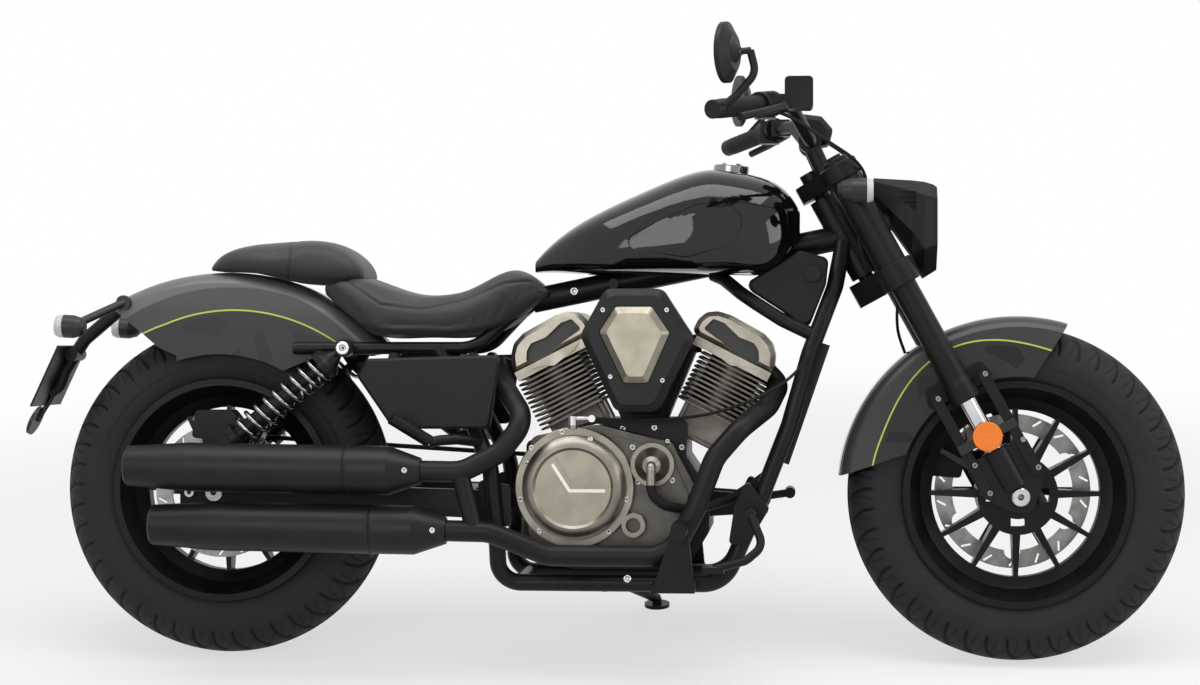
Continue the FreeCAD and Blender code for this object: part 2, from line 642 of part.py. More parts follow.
def stem_axis(low, high, radius):
    return rod(vec(-FORK_SETBACK, 0, low), vec(-FORK_SETBACK, 0, high), radius)


upper_yoke = yoke(UPPER_YOKE_LOW, UPPER_YOKE_HIGH)
upper_yoke = upper_yoke.cut(stem_axis(UPPER_YOKE_LOW - OVERRUN, UPPER_YOKE_HIGH + OVERRUN, STEM_RADIUS
                                      + SEAT_GAP))
lower_yoke = fuse([yoke(LOWER_YOKE_LOW, LOWER_YOKE_HIGH), stem_axis(LOWER_YOKE_LOW, STEM_TOP, STEM_RADIUS),
                   stem_axis(UPPER_YOKE_HIGH + SEAT_GAP, STEM_TOP, STEM_NUT_RADIUS)])
nodes["upper_yoke"] = on_fork(upper_yoke)
nodes["lower_yoke"] = on_fork(lower_yoke)

# Front fender: a creased, arched shell inside the fork legs, on two struts and a plate each side
FENDER_WALL = 3.0
FENDER_CROWN = 22.0
FENDER_CREASE = 2.0
CREASE_SHARE = 0.50
CROWN_ARC_SHARE = 0.8
CROWN_ARC_DROP_SHARE = 0.3
FRONT_FENDER_RADIUS = 340.0
FRONT_FENDER_HALF = 76.0
FRONT_FENDER_SKIRT = 224.0
FRONT_FENDER_FROM = 72.0
FRONT_FENDER_TO = 176.0
FRONT_END_SKIRT = 82.5
FRONT_END_CROWN = 73.6
REAR_END_SKIRT = 160.0
REAR_END_CROWN = 174.4
STRUT_HALF = 10.0
STRUT_THICK = 6.0
STRUT_LOW = 32.0
STRUT_TOP = 234.0
STRUT_Y = FORK_OUTER + SEAT_GAP
STRUT_STUD_SHARE = 0.7
FENDER_PLATE = 2.0
FENDER_PLATE_RISE = 24.0
FENDER_PLATE_DROP = 16.0


def fender_shell(centre, radius, half, skirt, start_angle, end_angle):
    """An arched section with a creased crown band, turned about the axle from start to end."""
    wall = FENDER_WALL
    shoulder = radius - FENDER_CROWN
    arc_radius = radius - FENDER_CROWN * CROWN_ARC_DROP_SHARE
    inner = half - wall
    crease = half * CREASE_SHARE
    below = radius - 2 * FENDER_CREASE
    profile = [
        (-half, skirt), (-half, shoulder), ("arc", -half * CROWN_ARC_SHARE, arc_radius), (-crease, below),
        (-crease + FENDER_CREASE, radius - FENDER_CREASE), ("arc", 0, radius), (crease - FENDER_CREASE,
                radius - FENDER_CREASE),
        (crease, below), ("arc", half * CROWN_ARC_SHARE, arc_radius), (half, shoulder), (half, skirt),
        (inner, skirt), (inner, shoulder - wall / 2), ("arc", inner * CROWN_ARC_SHARE, arc_radius - wall),
        (crease, below - wall), ("arc", 0, radius - wall - FENDER_CREASE), (-crease, below - wall),
        ("arc", -inner * CROWN_ARC_SHARE, arc_radius - wall), (-inner, shoulder - wall / 2), (-inner, skirt),
    ]
    return turned(profile, centre, start_angle, end_angle - start_angle)


front_shell = fender_shell(FRONT_AXLE, FRONT_FENDER_RADIUS, FRONT_FENDER_HALF, FRONT_FENDER_SKIRT,
                           FRONT_FENDER_FROM,
                           FRONT_FENDER_TO)
front_trims = [
    beyond(polar(FRONT_AXLE, FRONT_FENDER_RADIUS, FRONT_END_CROWN),
           polar(FRONT_AXLE, FRONT_FENDER_SKIRT, FRONT_END_SKIRT),
           FRONT_FENDER_RADIUS, 2 * FRONT_FENDER_HALF),
    beyond(polar(FRONT_AXLE, FRONT_FENDER_SKIRT, REAR_END_SKIRT),
           polar(FRONT_AXLE, FRONT_FENDER_RADIUS, REAR_END_CROWN),
           FRONT_FENDER_RADIUS, 2 * FRONT_FENDER_HALF),
]
nodes["front_fender"] = cut(front_shell, front_trims)


def fender_strut(n, side):
    """A flat strut from the casting up to the fender, with round ends and a stud to its plate."""
    low, high = sorted((side * STRUT_Y, side * (STRUT_Y + STRUT_THICK)))
    bar = block(vec(n - STRUT_HALF, low, STRUT_LOW), vec(n + STRUT_HALF, high, STRUT_TOP))
    ends = [rod(vec(n, low, s), vec(n, high, s), STRUT_HALF) for s in (STRUT_LOW, STRUT_TOP)]
    plate_out = side * (FRONT_FENDER_HALF + SEAT_GAP + FENDER_PLATE)
    stud = rod(vec(n, plate_out, STRUT_TOP), vec(n, side * STRUT_Y, STRUT_TOP), STRUT_HALF * STRUT_STUD_SHARE)
    return [bar, stud] + ends


def strut_frame(side):
    """Both struts of one side and the plate on the fender that joins them."""
    edge = STRUT_REACH + 2 * STRUT_HALF
    low, high = sorted((side * (FRONT_FENDER_HALF + SEAT_GAP),
                        side * (FRONT_FENDER_HALF + SEAT_GAP + FENDER_PLATE)))
    plate = side_plate([(-edge, STRUT_TOP - FENDER_PLATE_DROP), (edge, STRUT_TOP - FENDER_PLATE_DROP),
                        (edge - STRUT_HALF, STRUT_TOP + FENDER_PLATE_RISE), (-edge + STRUT_HALF, STRUT_TOP
                                + FENDER_PLATE_RISE)],
                       low, high, STRUT_HALF)
    return fuse([plate] + fender_strut(-STRUT_REACH, side) + fender_strut(STRUT_REACH, side))


nodes["fender_struts"] = on_fork(Part.makeCompound([strut_frame(1), strut_frame(-1)]))

# Round reflectors on a cross plate between the fork struts
REFLECTOR_RADIUS = 28.0
REFLECTOR_THICK = 8.0
REFLECTOR_S = 129.0
REFLECTOR_PLATE = 3.0
REFLECTOR_PLATE_HALF = 9.0


def reflector(side):
    base = STRUT_Y + STRUT_THICK + SEAT_GAP
    disc = turned([(side * base, 0), (side * base, REFLECTOR_RADIUS),
                   (side * (base + REFLECTOR_THICK - EDGE_BREAK), REFLECTOR_RADIUS),
                   (side * (base + REFLECTOR_THICK), REFLECTOR_RADIUS
                    - EDGE_BREAK), (side * (base + REFLECTOR_THICK), 0)],
                  vec(0, 0, REFLECTOR_S))
    low, high = sorted((side * base, side * (base + REFLECTOR_PLATE)))
    plate = block(vec(-STRUT_REACH - STRUT_HALF, low, REFLECTOR_S - REFLECTOR_PLATE_HALF),
                  vec(STRUT_REACH + STRUT_HALF, high, REFLECTOR_S + REFLECTOR_PLATE_HALF))
    return fuse([disc, plate])


nodes["fork_reflectors"] = on_fork(Part.makeCompound([reflector(1), reflector(-1)]))

# Headlight: a wedge-shaped housing ahead of the fork with a peak, vents and the lamp face in a rim
LAMP_LENGTH = 119.0
LAMP_HALF = 92.0
LAMP_HEIGHT = 190.0
LAMP_AHEAD = 51.4
LAMP_S = 658.0
LAMP_RIM = 12.0
LAMP_RECESS = 14.0
LENS_THICK = 10.0
LAMP_CORNER_SHARE = 0.30
LAMP_STATION_SHARES = [
    (0.0, 0.65, 0.77, 1.0), (0.605, 0.86, 0.237, 0.975), (0.80, 0.96, 0.0, 0.958), (0.94, 1.0, 0.055,
            0.93), (1.0, 1.0, 0.08, 0.90),
]
VENT_SHARES = [(0.28, 0.86), (0.66, 0.86), (0.66, 0.67), (0.36, 0.80)]
VENT_DEPTH = 9.0
VENT_SLATS = 3
VENT_SLAT_THICK = 2.0
LAMP_ARM_RADIUS = 9.0
LAMP_ARM_S = 560.0
LAMP_ARM_N = 24.0
LAMP_ARM_IN = 12.0
LAMP_ARM_SHARE = (0.17, 0.62)


def lamp_outline(x, half, low, high):
    """An eight-sided outline with cut corners, across the machine."""
    corner = LAMP_CORNER_SHARE * 2 * half * min(1.0, (high - low) / (2 * half))
    top = corner / 2
    points = [
        vec(x, -half + corner, low), vec(x, half - corner, low), vec(x, half, low + corner), vec(x, half,
                high - top),
        vec(x, half - top, high), vec(x, -half + top, high), vec(x, -half, high - top), vec(x, -half, low
                + corner),
    ]
    return Part.makePolygon(points + points[:1])


lamp_rear = fork_point(LAMP_S, LAMP_AHEAD, 0)
LAMP_REAR_X = lamp_rear.x
LAMP_BASE = lamp_rear.z - LAMP_HEIGHT
lamp_front_x = LAMP_REAR_X + LAMP_LENGTH
lamp_body = Part.makeLoft([
    lamp_outline(LAMP_REAR_X + along * LAMP_LENGTH, width * LAMP_HALF, LAMP_BASE + low * LAMP_HEIGHT,
                 LAMP_BASE + high * LAMP_HEIGHT)
    for along, width, low, high in LAMP_STATION_SHARES], True, True)
front_low = LAMP_BASE + LAMP_STATION_SHARES[-1][2] * LAMP_HEIGHT
front_high = LAMP_BASE + LAMP_STATION_SHARES[-1][3] * LAMP_HEIGHT
lamp_mouth = Part.Face(lamp_outline(lamp_front_x - LAMP_RECESS, LAMP_HALF - LAMP_RIM, front_low + LAMP_RIM,
                                    front_high - LAMP_RIM)).extrude(ALONG * (LAMP_RECESS + OVERRUN))
vent_outline = outlined(VENT_SHARES, LAMP_REAR_X, LAMP_BASE, LAMP_LENGTH, LAMP_HEIGHT)
vent = side_plate(vent_outline, LAMP_HALF - VENT_DEPTH - LAMP_RIM, LAMP_HALF + OVERRUN)
slat_pitch = (vent_outline[0][1] - vent_outline[2][1]) / (VENT_SLATS + 1)
for slat in range(VENT_SLATS):
    level = vent_outline[0][1] - (slat + 1) * slat_pitch
    vent = vent.cut(block(vec(LAMP_REAR_X, 0, level),
                          vec(lamp_front_x, LAMP_HALF - VENT_DEPTH / 2, level + VENT_SLAT_THICK)))
lamp_arms = []
for side in (1, -1):
    start = fork_point(LAMP_ARM_S, LAMP_ARM_N, side * (FORK_HALF - LAMP_ARM_IN))
    end = vec(LAMP_REAR_X + LAMP_ARM_SHARE[0] * LAMP_LENGTH, side * LAMP_HALF / 2, LAMP_BASE
              + LAMP_ARM_SHARE[1] * LAMP_HEIGHT)
    lamp_arms.append(rod(start, end, LAMP_ARM_RADIUS))
leg_room = [on_fork(leg_axis(side * FORK_HALF, COLLAR_HIGH, FORK_TOP + FORK_CAP, FORK_COVER_RADIUS
                             + SEAT_GAP)) for side in (1, -1)]
clamp_room = [on_fork(leg_axis(side * FORK_HALF, LOWER_YOKE_LOW - SEAT_GAP, LOWER_YOKE_HIGH + SEAT_GAP,
                               FORK_COVER_RADIUS + YOKE_CLAMP_WALL + SEAT_GAP)) for side in (1, -1)]
lamp_solid = cut(cut(lamp_body, [lamp_mouth, vent, mirrored(vent)]), leg_room + clamp_room)
nodes["headlight_housing"] = cut(fuse([lamp_solid] + lamp_arms), leg_room)
nodes["headlight_lens"] = Part.Face(lamp_outline(
    lamp_front_x - LAMP_RECESS + SEAT_GAP, LAMP_HALF - LAMP_RIM - SEAT_GAP, front_low + LAMP_RIM + SEAT_GAP,
    front_high - LAMP_RIM - SEAT_GAP)).extrude(ALONG * LENS_THICK)

# Swingarm: two box arms from the pivot to the axle, joined behind the engine, with adjusters at the tips
PIVOT_PIN_RADIUS = 11.0
ARM_DEPTH = 54.0
ARM_TIP_DEPTH = 44.0
ARM_TAIL = 62.0
ARM_CROSS_BACK = 70.0
ARM_CROSS_LENGTH = 36.0
ARM_CROSS_DROP_SHARE = 0.22
SHOCK_LOW_X = 5.0
SHOCK_LOW_Z = 392.0
SHOCK_TOP_X = 256.0
SHOCK_Y = 148.0
LUG_BASE = 43.0
LUG_HALF = 14.0
ADJUSTER_CAP = 5.0
ADJUSTER_BOLT = 16.0
ADJUSTER_BOLT_RADIUS = 5.0
SPOOL_BACK = 46.0
SPOOL_RADIUS = 4.0
SPOOL_BOSS_RADIUS = 9.0
SPOOL_DEPTH = 14.0
SHOCK_LOW = vec(SHOCK_LOW_X, 0, SHOCK_LOW_Z)
SHOCK_TOP = vec(SHOCK_TOP_X, 0, RAIL_Z)


def swing_arm(side):
    low, high = sorted((side * ARM_OUTER, side * ARM_INNER))
    bar = side_plate([(-ARM_TAIL, REAR_AXLE.z - ARM_TIP_DEPTH / 2), (PIVOT.x, PIVOT.z - ARM_DEPTH / 2),
                      (PIVOT.x, PIVOT.z + ARM_DEPTH / 2), (-ARM_TAIL, REAR_AXLE.z
                                                           + ARM_TIP_DEPTH / 2)], low, high)
    boss = cross_rod(PIVOT.x, PIVOT.z, low, high, ARM_DEPTH / 2)
    lug = side_plate([(SHOCK_LOW.x - LUG_BASE / 2, REAR_AXLE.z), (SHOCK_LOW.x + LUG_BASE, REAR_AXLE.z),
                      (SHOCK_LOW.x + LUG_HALF, SHOCK_LOW.z + LUG_HALF), (SHOCK_LOW.x - LUG_HALF,
                              SHOCK_LOW.z + LUG_HALF)],
                     side * ARM_INNER, side * (SHOCK_Y - SHOCK_BODY_RADIUS - EDGE_BREAK), LUG_HALF / 2)
    pin = cross_rod(SHOCK_LOW.x, SHOCK_LOW.z, *sorted((side * ARM_INNER, side * (SHOCK_Y + LUG_HALF))),
                    SHOCK_PIN_RADIUS)
    cap = block(vec(-ARM_TAIL - ADJUSTER_CAP, low, REAR_AXLE.z - ARM_TIP_DEPTH / 2),
                vec(-ARM_TAIL, high, REAR_AXLE.z + ARM_TIP_DEPTH / 2))
    middle = side * (ARM_INNER + ARM_OUTER) / 2
    bolt = rod(vec(-ARM_TAIL - ADJUSTER_BOLT, middle, REAR_AXLE.z), vec(-ARM_TAIL, middle, REAR_AXLE.z),
               ADJUSTER_BOLT_RADIUS)
    return fuse([bar, boss, lug, pin, cap, bolt])


# Twin rear shocks: a body between two eyes and a coil spring between its seats
SHOCK_EYE_RADIUS = 17.0
SHOCK_EYE_HALF = 11.0
SHOCK_PIN_RADIUS = 8.0
SHOCK_BODY_RADIUS = 18.0
SHOCK_BODY_SHARE = 0.6
SPRING_WIRE_RADIUS = 4.0
SPRING_MEAN_RADIUS = 26.0
SPRING_SEAT_RADIUS = 30.0
SPRING_SEAT_THICK = 12.0
SPRING_FROM = 62.0
SPRING_TO = 268.0
SPRING_COILS = 9


def rear_shock(side):
    low = SHOCK_LOW + ACROSS * (side * SHOCK_Y)
    top = SHOCK_TOP + ACROSS * (side * SHOCK_Y)
    way = top - low
    span = way.Length
    way.normalize()
    lower_seat, upper_seat = SPRING_FROM - SEAT_GAP, SPRING_TO + SEAT_GAP
    turned_body = spun([
        (0, 0), (0, SHOCK_BODY_RADIUS / 2), (SHOCK_EYE_RADIUS + EDGE_BREAK,
                                             SHOCK_BODY_RADIUS), (lower_seat - SPRING_SEAT_THICK,
                                                                  SHOCK_BODY_RADIUS),
        (lower_seat - SPRING_SEAT_THICK, SPRING_SEAT_RADIUS), (lower_seat,
                                                               SPRING_SEAT_RADIUS), (lower_seat,
                                                                       SHOCK_BODY_RADIUS),
        (span * SHOCK_BODY_SHARE, SHOCK_BODY_RADIUS), (span * SHOCK_BODY_SHARE, SHOCK_BODY_RADIUS / 2),
        (upper_seat, SHOCK_BODY_RADIUS / 2), (upper_seat, SPRING_SEAT_RADIUS), (upper_seat
                + SPRING_SEAT_THICK, SPRING_SEAT_RADIUS),
        (upper_seat + 2 * SPRING_SEAT_THICK, SHOCK_BODY_RADIUS), (span - SHOCK_EYE_RADIUS,
                                                                  SHOCK_BODY_RADIUS / 2),
        (span, SHOCK_BODY_RADIUS / 2), (span, 0),
    ], low, way)
    eyes = [cross_rod(point.x, point.z, point.y - SHOCK_EYE_HALF, point.y + SHOCK_EYE_HALF,
                      SHOCK_EYE_RADIUS) for point in (low, top)]
    holes = [cross_rod(point.x, point.z, point.y - OVERRUN, point.y + OVERRUN, SHOCK_PIN_RADIUS
                       + SEAT_GAP) for point in (low, top)]
    body = cut(fuse([turned_body] + eyes), holes)
    height = SPRING_TO - SPRING_FROM - 2 * SPRING_WIRE_RADIUS
    pitch = height / SPRING_COILS
    helix = Part.makeHelix(pitch, height, SPRING_MEAN_RADIUS)
    wire = Part.Wire(Part.makeCircle(SPRING_WIRE_RADIUS, vec(SPRING_MEAN_RADIUS, 0, 0),
                                     vec(0, 2 * math.pi * SPRING_MEAN_RADIUS, pitch)))
    spring = Part.Wire(helix).makePipeShell([wire], True, True)
    spring.Placement = FreeCAD.Placement(low + way * (SPRING_FROM + SPRING_WIRE_RADIUS),
                                         FreeCAD.Rotation(UP, way))
    return body, spring


cross_tube = block(vec(PIVOT.x - ARM_CROSS_BACK - ARM_CROSS_LENGTH / 2, -ARM_OUTER, PIVOT.z
                       - ARM_DEPTH * ARM_CROSS_DROP_SHARE),
                   vec(PIVOT.x - ARM_CROSS_BACK + ARM_CROSS_LENGTH / 2, ARM_OUTER, PIVOT.z + ARM_DEPTH / 2))
nodes["swingarm"] = cut(fuse([swing_arm(1), swing_arm(-1), cross_tube]), [
    cross_rod(0, REAR_AXLE.z, -ARM_OUTER - OVERRUN, ARM_OUTER + OVERRUN, AXLE_RADIUS + SEAT_GAP),
    cross_rod(PIVOT.x, PIVOT.z, -ARM_OUTER - OVERRUN, ARM_OUTER + OVERRUN, PIVOT_PIN_RADIUS + SEAT_GAP)])
left_shock, left_spring = rear_shock(1)
right_shock, right_spring = rear_shock(-1)
nodes["rear_shocks"] = Part.makeCompound([left_shock, right_shock])
nodes["shock_springs"] = Part.makeCompound([left_spring, right_spring])

# Frame: backbone, twin cradle and rear rails welded into one
TUBE_RADIUS = 16.0
RAIL_RADIUS = 12.0
BACKBONE_RADIUS = 24.0
BACKBONE_REAR_X = 600.0
BACKBONE_REAR_Z = 690.0
BRACE_RADIUS = 13.0
BRACE_FOOT_SHARE = 0.24
BRACE_RUN = 198.0
BRACE_HEIGHT = 120.0
CRADLE_FRONT_X = 975.0
CRADLE_REAR_X = 548.0
PIVOT_TUBE_Y = 152.0
RAIL_SPREAD = 100.0
RAIL_END_X = 150.0
FRAME_BEND = 60.0
FRAME_PLATE_IN = 138.0
FRAME_PLATE_OUT = 148.0
FRAME_PLATE_LENGTH = 62.0
FRAME_PLATE_HEIGHT = 100.0
FRAME_PLATE_BACK = 36.0
SEAT_CROSS_X = 440.0
STAY_X = 186.0
STAY_RADIUS = 10.0
DOWN_TUBE_SHARES = [(0.006, 0.17, 0.019), (0.076, 0.466, 0.146), (0.286, 0.78, 0.337),
                    (0.461, 0.847, 0.55), (0.715, 0.881, 0.776)]
REAR_RISE_SHARES = [(0.0, -0.2), (-0.04, 0.24)]
REAR_TOP_SHARES = [(-0.16, 0.5), (-0.396, 1.0)]
RAIL_SHARES = [(0.04, 0.07, 0.02), (0.40, 0.61, 0.38)]
BRACE_SHARES = [(0.0, 1.0, 0.0), (0.328, 0.95, 0.262), (0.571, 0.91, 0.518), (0.722, 0.72, 0.688),
                (0.90, 0.22, 0.93), (1.0, 0.04, 1.0)]
FRAME_PLATE_SHARES = [(0.0, 0.0), (1.0, 0.12), (1.0, 0.88), (0.0, 1.0)]
head_middle = fork_point((HEAD_LOW + HEAD_HIGH) / 2, -FORK_SETBACK, 0)
BACKBONE_REAR = vec(BACKBONE_REAR_X, 0, BACKBONE_REAR_Z)
head_drop = vec(CRADLE_FRONT_X - head_middle.x, CRADLE_Y, CRADLE_Z - head_middle.z)
down_tube = [head_middle + vec(along * head_drop.x, wide * head_drop.y, down * head_drop.z) for along,
             wide, down in DOWN_TUBE_SHARES]
rear_rise = RAIL_Z - PIVOT_Z
cradle_points = down_tube + [vec(CRADLE_FRONT_X, CRADLE_Y, CRADLE_Z), vec(CRADLE_REAR_X, CRADLE_Y, CRADLE_Z)]
cradle_points += [PIVOT + vec(along * rear_rise, PIVOT_TUBE_Y, up * rear_rise) for along,
                  up in REAR_RISE_SHARES]
cradle_points += [PIVOT + vec(along * rear_rise, RAIL_Y, up * rear_rise) for along, up in REAR_TOP_SHARES]
rail_points = [BACKBONE_REAR + vec(-along * RAIL_SPREAD, wide * RAIL_Y, down * (RAIL_Z - BACKBONE_REAR_Z))
               for along, wide, down in RAIL_SHARES]
rail_points += [vec(BACKBONE_REAR_X - RAIL_SPREAD, RAIL_Y, RAIL_Z), vec(RAIL_END_X, RAIL_Y, RAIL_Z)]
brace_foot = down_tube[2] + (down_tube[1] - down_tube[2]) * BRACE_FOOT_SHARE
brace_points = [vec(brace_foot.x - along * BRACE_RUN, wide * brace_foot.y, brace_foot.z + up * BRACE_HEIGHT)
                for along, wide, up in BRACE_SHARES]
stud_out = SHOCK_Y + SHOCK_EYE_HALF + SHOCK_PIN_RADIUS


def frame_side():
    cradle = pipe(cradle_points, TUBE_RADIUS, FRAME_BEND)
    rail = pipe(rail_points, RAIL_RADIUS, FRAME_BEND)
    brace = pipe(brace_points, BRACE_RADIUS, FRAME_BEND)
    plate = side_plate(outlined(FRAME_PLATE_SHARES, PIVOT.x - FRAME_PLATE_BACK, PIVOT.z
                                - FRAME_PLATE_HEIGHT / 2,
                                FRAME_PLATE_LENGTH, FRAME_PLATE_HEIGHT), FRAME_PLATE_IN, FRAME_PLATE_OUT, STAY_RADIUS)
    stud = cross_rod(SHOCK_TOP.x, SHOCK_TOP.z, RAIL_Y, stud_out, SHOCK_PIN_RADIUS)
    nut = cross_rod(SHOCK_TOP.x, SHOCK_TOP.z, SHOCK_Y + SHOCK_EYE_HALF + SEAT_GAP, stud_out,
                    SHOCK_EYE_RADIUS - EDGE_BREAK)
    fender_stay = cross_rod(STAY_X, RAIL_Z, REAR_FENDER_HALF + SEAT_GAP, RAIL_Y, STAY_RADIUS)
    return [cradle, rail, brace, plate, stud, nut, fender_stay]


REAR_FENDER_HALF = 98.0
TANK_PAD_X = 1060.0
TANK_PAD_REAR_X = 760.0
TANK_PAD_RADIUS = 10.0
TUNNEL_HALF = 32.0
head_tube = on_fork(stem_axis(HEAD_LOW, HEAD_HIGH, HEAD_RADIUS))
backbone = rod(head_middle, BACKBONE_REAR, BACKBONE_RADIUS)
backbone_way = BACKBONE_REAR - head_middle


def on_backbone(x):
    """The backbone's centre at a given x."""
    return head_middle + backbone_way * ((x - head_middle.x) / backbone_way.x)


left_side = frame_side()
tank_pads = [cross_rod(x, on_backbone(x).z, -TUNNEL_HALF + SEAT_GAP, TUNNEL_HALF - SEAT_GAP, TANK_PAD_RADIUS)
             for x in (TANK_PAD_X, TANK_PAD_REAR_X)]
front_cross = down_tube[4]
frame_solid = fuse([
    head_tube, backbone, cross_rod(PIVOT.x, PIVOT.z, -FRAME_PLATE_OUT, FRAME_PLATE_OUT, PIVOT_PIN_RADIUS),
    cross_rod(front_cross.x, front_cross.z, -front_cross.y, front_cross.y, RAIL_RADIUS),
    cross_rod(CRADLE_REAR_X + TUBE_RADIUS * 2, CRADLE_Z, -CRADLE_Y, CRADLE_Y, RAIL_RADIUS),
    cross_rod(SEAT_CROSS_X, RAIL_Z, -RAIL_Y, RAIL_Y,
              RAIL_RADIUS)] + tank_pads + left_side + [mirrored(shape) for shape in left_side])
frame_solid = frame_solid.cut(on_fork(stem_axis(HEAD_LOW - OVERRUN, HEAD_HIGH + OVERRUN, STEM_RADIUS
                                                + HEAD_CLEARANCE)))

# Threaded bosses for the spools of a paddock stand, one outside each swingarm tip, seam turned off the upright
SPOOL_SEAM_TURN = 5.0
spool_seat = vec(-SPOOL_BACK, 0, REAR_AXLE.z)
spool_boss = cross_rod(-SPOOL_BACK, REAR_AXLE.z, ARM_OUTER + SEAT_GAP, ARM_OUTER + SPOOL_DEPTH,
                       SPOOL_BOSS_RADIUS)
spool_boss = spool_boss.cut(cross_rod(-SPOOL_BACK, REAR_AXLE.z, ARM_OUTER, ARM_OUTER + SPOOL_DEPTH
                                      + OVERRUN, SPOOL_RADIUS))
spool_boss.rotate(spool_seat, ACROSS, SPOOL_SEAM_TURN)
nodes["mount_bosses"] = Part.makeCompound([spool_boss, mirrored(spool_boss)])

# Engine: two finned cylinders leaned apart over one crankcase
CYLINDER_LEAN = 27.0
CASE_HALF = 112.0
CASE_LENGTH = 355.0
CASE_HEIGHT = 284.0
CASE_REAR = CRANK_X - 227.0
CASE_BASE = CRANK_Z - 37.0
CASE_LEFT_REAR = 66.0
CASE_BEND = 12.0
BELT_ROOM_X = 690.0
CASE_SHARES = [(0.0, 0.218), (0.048, 0.063), (0.273, 0.0), (0.879, 0.0), (1.0, 0.254), (1.0, 0.535),
               (0.879, 0.754),
               (0.879, 1.0), (0.40, 1.0), (0.02, 0.852)]
FIN_FROM = 288.0
FIN_TO = 392.0
FIN_COUNT = 11
FIN_THICK = 4.0
FIN_HALF = 72.0
FIN_SIDE = 88.0
FIN_BEND = 16.0
FIN_GROOVE_RADIUS = 6.0
FIN_GROOVE_SHARES = (-0.42, 0.30)
BARREL_RADIUS = 54.0
BARREL_FOOT = 30.0
HEAD_BOTTOM = 392.0
HEAD_MIDDLE = 410.0
HEAD_TOP = 474.0
HEAD_OUT = 66.0
HEAD_IN = 104.0
HEAD_SIDE = 100.0
HEAD_SKIRT_IN = 92.0
COVER_BEVEL = 9.0
COVER_BEND = 22.0
COVER_ARCH_SHARES = [(0.0, 0.0), (0.0, 0.45), (0.05, 0.75), (0.16, 0.93), (0.30, 0.99), (0.72, 0.94),
                     (0.86, 0.80), (0.95, 0.52), (1.0, 0.18),
                     (1.0, 0.0)]
POCKET_SHARES = [(0.10, 0.26), (0.15, 0.66), (0.28, 0.70), (0.50, 0.52), (0.68, 0.56), (0.76, 0.42),
                 (0.82, 0.16), (0.79, 0.05), (0.53, 0.05),
                 (0.44, 0.12)]
POCKET_DEPTH = 12.0
POCKET_BEND = 5.0
SCOOP_SHARES = [(0.10, 0.95), (0.22, 0.30), (0.52, -0.22), (0.66, 0.30), (0.80, 0.55), (0.80, 0.95)]
SCOOP_RISE = 5.0
MOUNT_IN = 52.0
MOUNT_THICK = 14.0
MOUNT_HALF = 26.0


def on_cylinder(shape, side):
    """Places a piece drawn with Z up the bore and X forward: side +1 front, -1 rear."""
    if side < 0:
        shape = shape.mirror(ORIGIN, ALONG)
    shape.rotate(ORIGIN, ACROSS, side * CYLINDER_LEAN)
    shape.translate(CRANK)
    return shape


def cylinder():
    """A finned barrel, the fins notched by two grooves on each side."""
    parts = [rod(vec(0, 0, FIN_FROM - BARREL_FOOT), vec(0, 0, FIN_TO - SEAT_GAP), BARREL_RADIUS)]
    pitch = (FIN_TO - FIN_FROM) / FIN_COUNT
    corners = [vec(-FIN_HALF, -FIN_SIDE, 0), vec(FIN_HALF, -FIN_SIDE, 0), vec(FIN_HALF, FIN_SIDE, 0),
               vec(-FIN_HALF, FIN_SIDE, 0)]
    face = Part.Face(closed_path(corners, FIN_BEND))
    grooves = [rod(vec(share * FIN_HALF, y, FIN_FROM - FIN_THICK), vec(share * FIN_HALF, y, FIN_TO),
                   FIN_GROOVE_RADIUS)
               for share in FIN_GROOVE_SHARES for y in (FIN_SIDE, -FIN_SIDE)]
    slab = cut(face.extrude(UP * FIN_THICK), grooves)
    for fin in range(FIN_COUNT):
        copy = slab.copy()
        copy.translate(UP * (FIN_FROM + fin * pitch))
        parts.append(copy)
    return fuse(parts)


def cylinder_head():
    """The head, with a raised scoop on each side that laps over the top fins."""
    long = HEAD_OUT + HEAD_SKIRT_IN
    core = side_plate([(-HEAD_SKIRT_IN, HEAD_BOTTOM), (HEAD_OUT, HEAD_BOTTOM), (HEAD_OUT, HEAD_MIDDLE),
                       (-HEAD_SKIRT_IN, HEAD_MIDDLE)],
                      -HEAD_SIDE, HEAD_SIDE)
    outline = outlined(SCOOP_SHARES, -HEAD_SKIRT_IN, HEAD_BOTTOM, long, HEAD_MIDDLE - HEAD_BOTTOM)
    scoops = [side_plate(outline, *sorted((side * (FIN_SIDE + SEAT_GAP), side * (HEAD_SIDE + SCOOP_RISE))),
                         FIN_THICK)
              for side in (1, -1)]
    return fuse([core] + scoops)


def rocker_cover():
    """An arched cover with bevelled sides and a deep pocket in each."""
    base = HEAD_MIDDLE + SEAT_GAP
    long, rise = HEAD_OUT + HEAD_IN, HEAD_TOP - base
    arch_outline = outlined(COVER_ARCH_SHARES, -HEAD_IN, base, long, rise)
    arch = fuse([bevelled_plate(arch_outline, 0, side * HEAD_SIDE, COVER_BEND, COVER_BEVEL)
                 for side in (1, -1)])
    outline = outlined(POCKET_SHARES, -HEAD_IN, base, long, rise)
    pockets = [side_plate(outline, *sorted((side * (HEAD_SIDE - POCKET_DEPTH),
                                            side * (HEAD_SIDE + OVERRUN))), POCKET_BEND)
               for side in (1, -1)]
    return cut(arch, pockets)


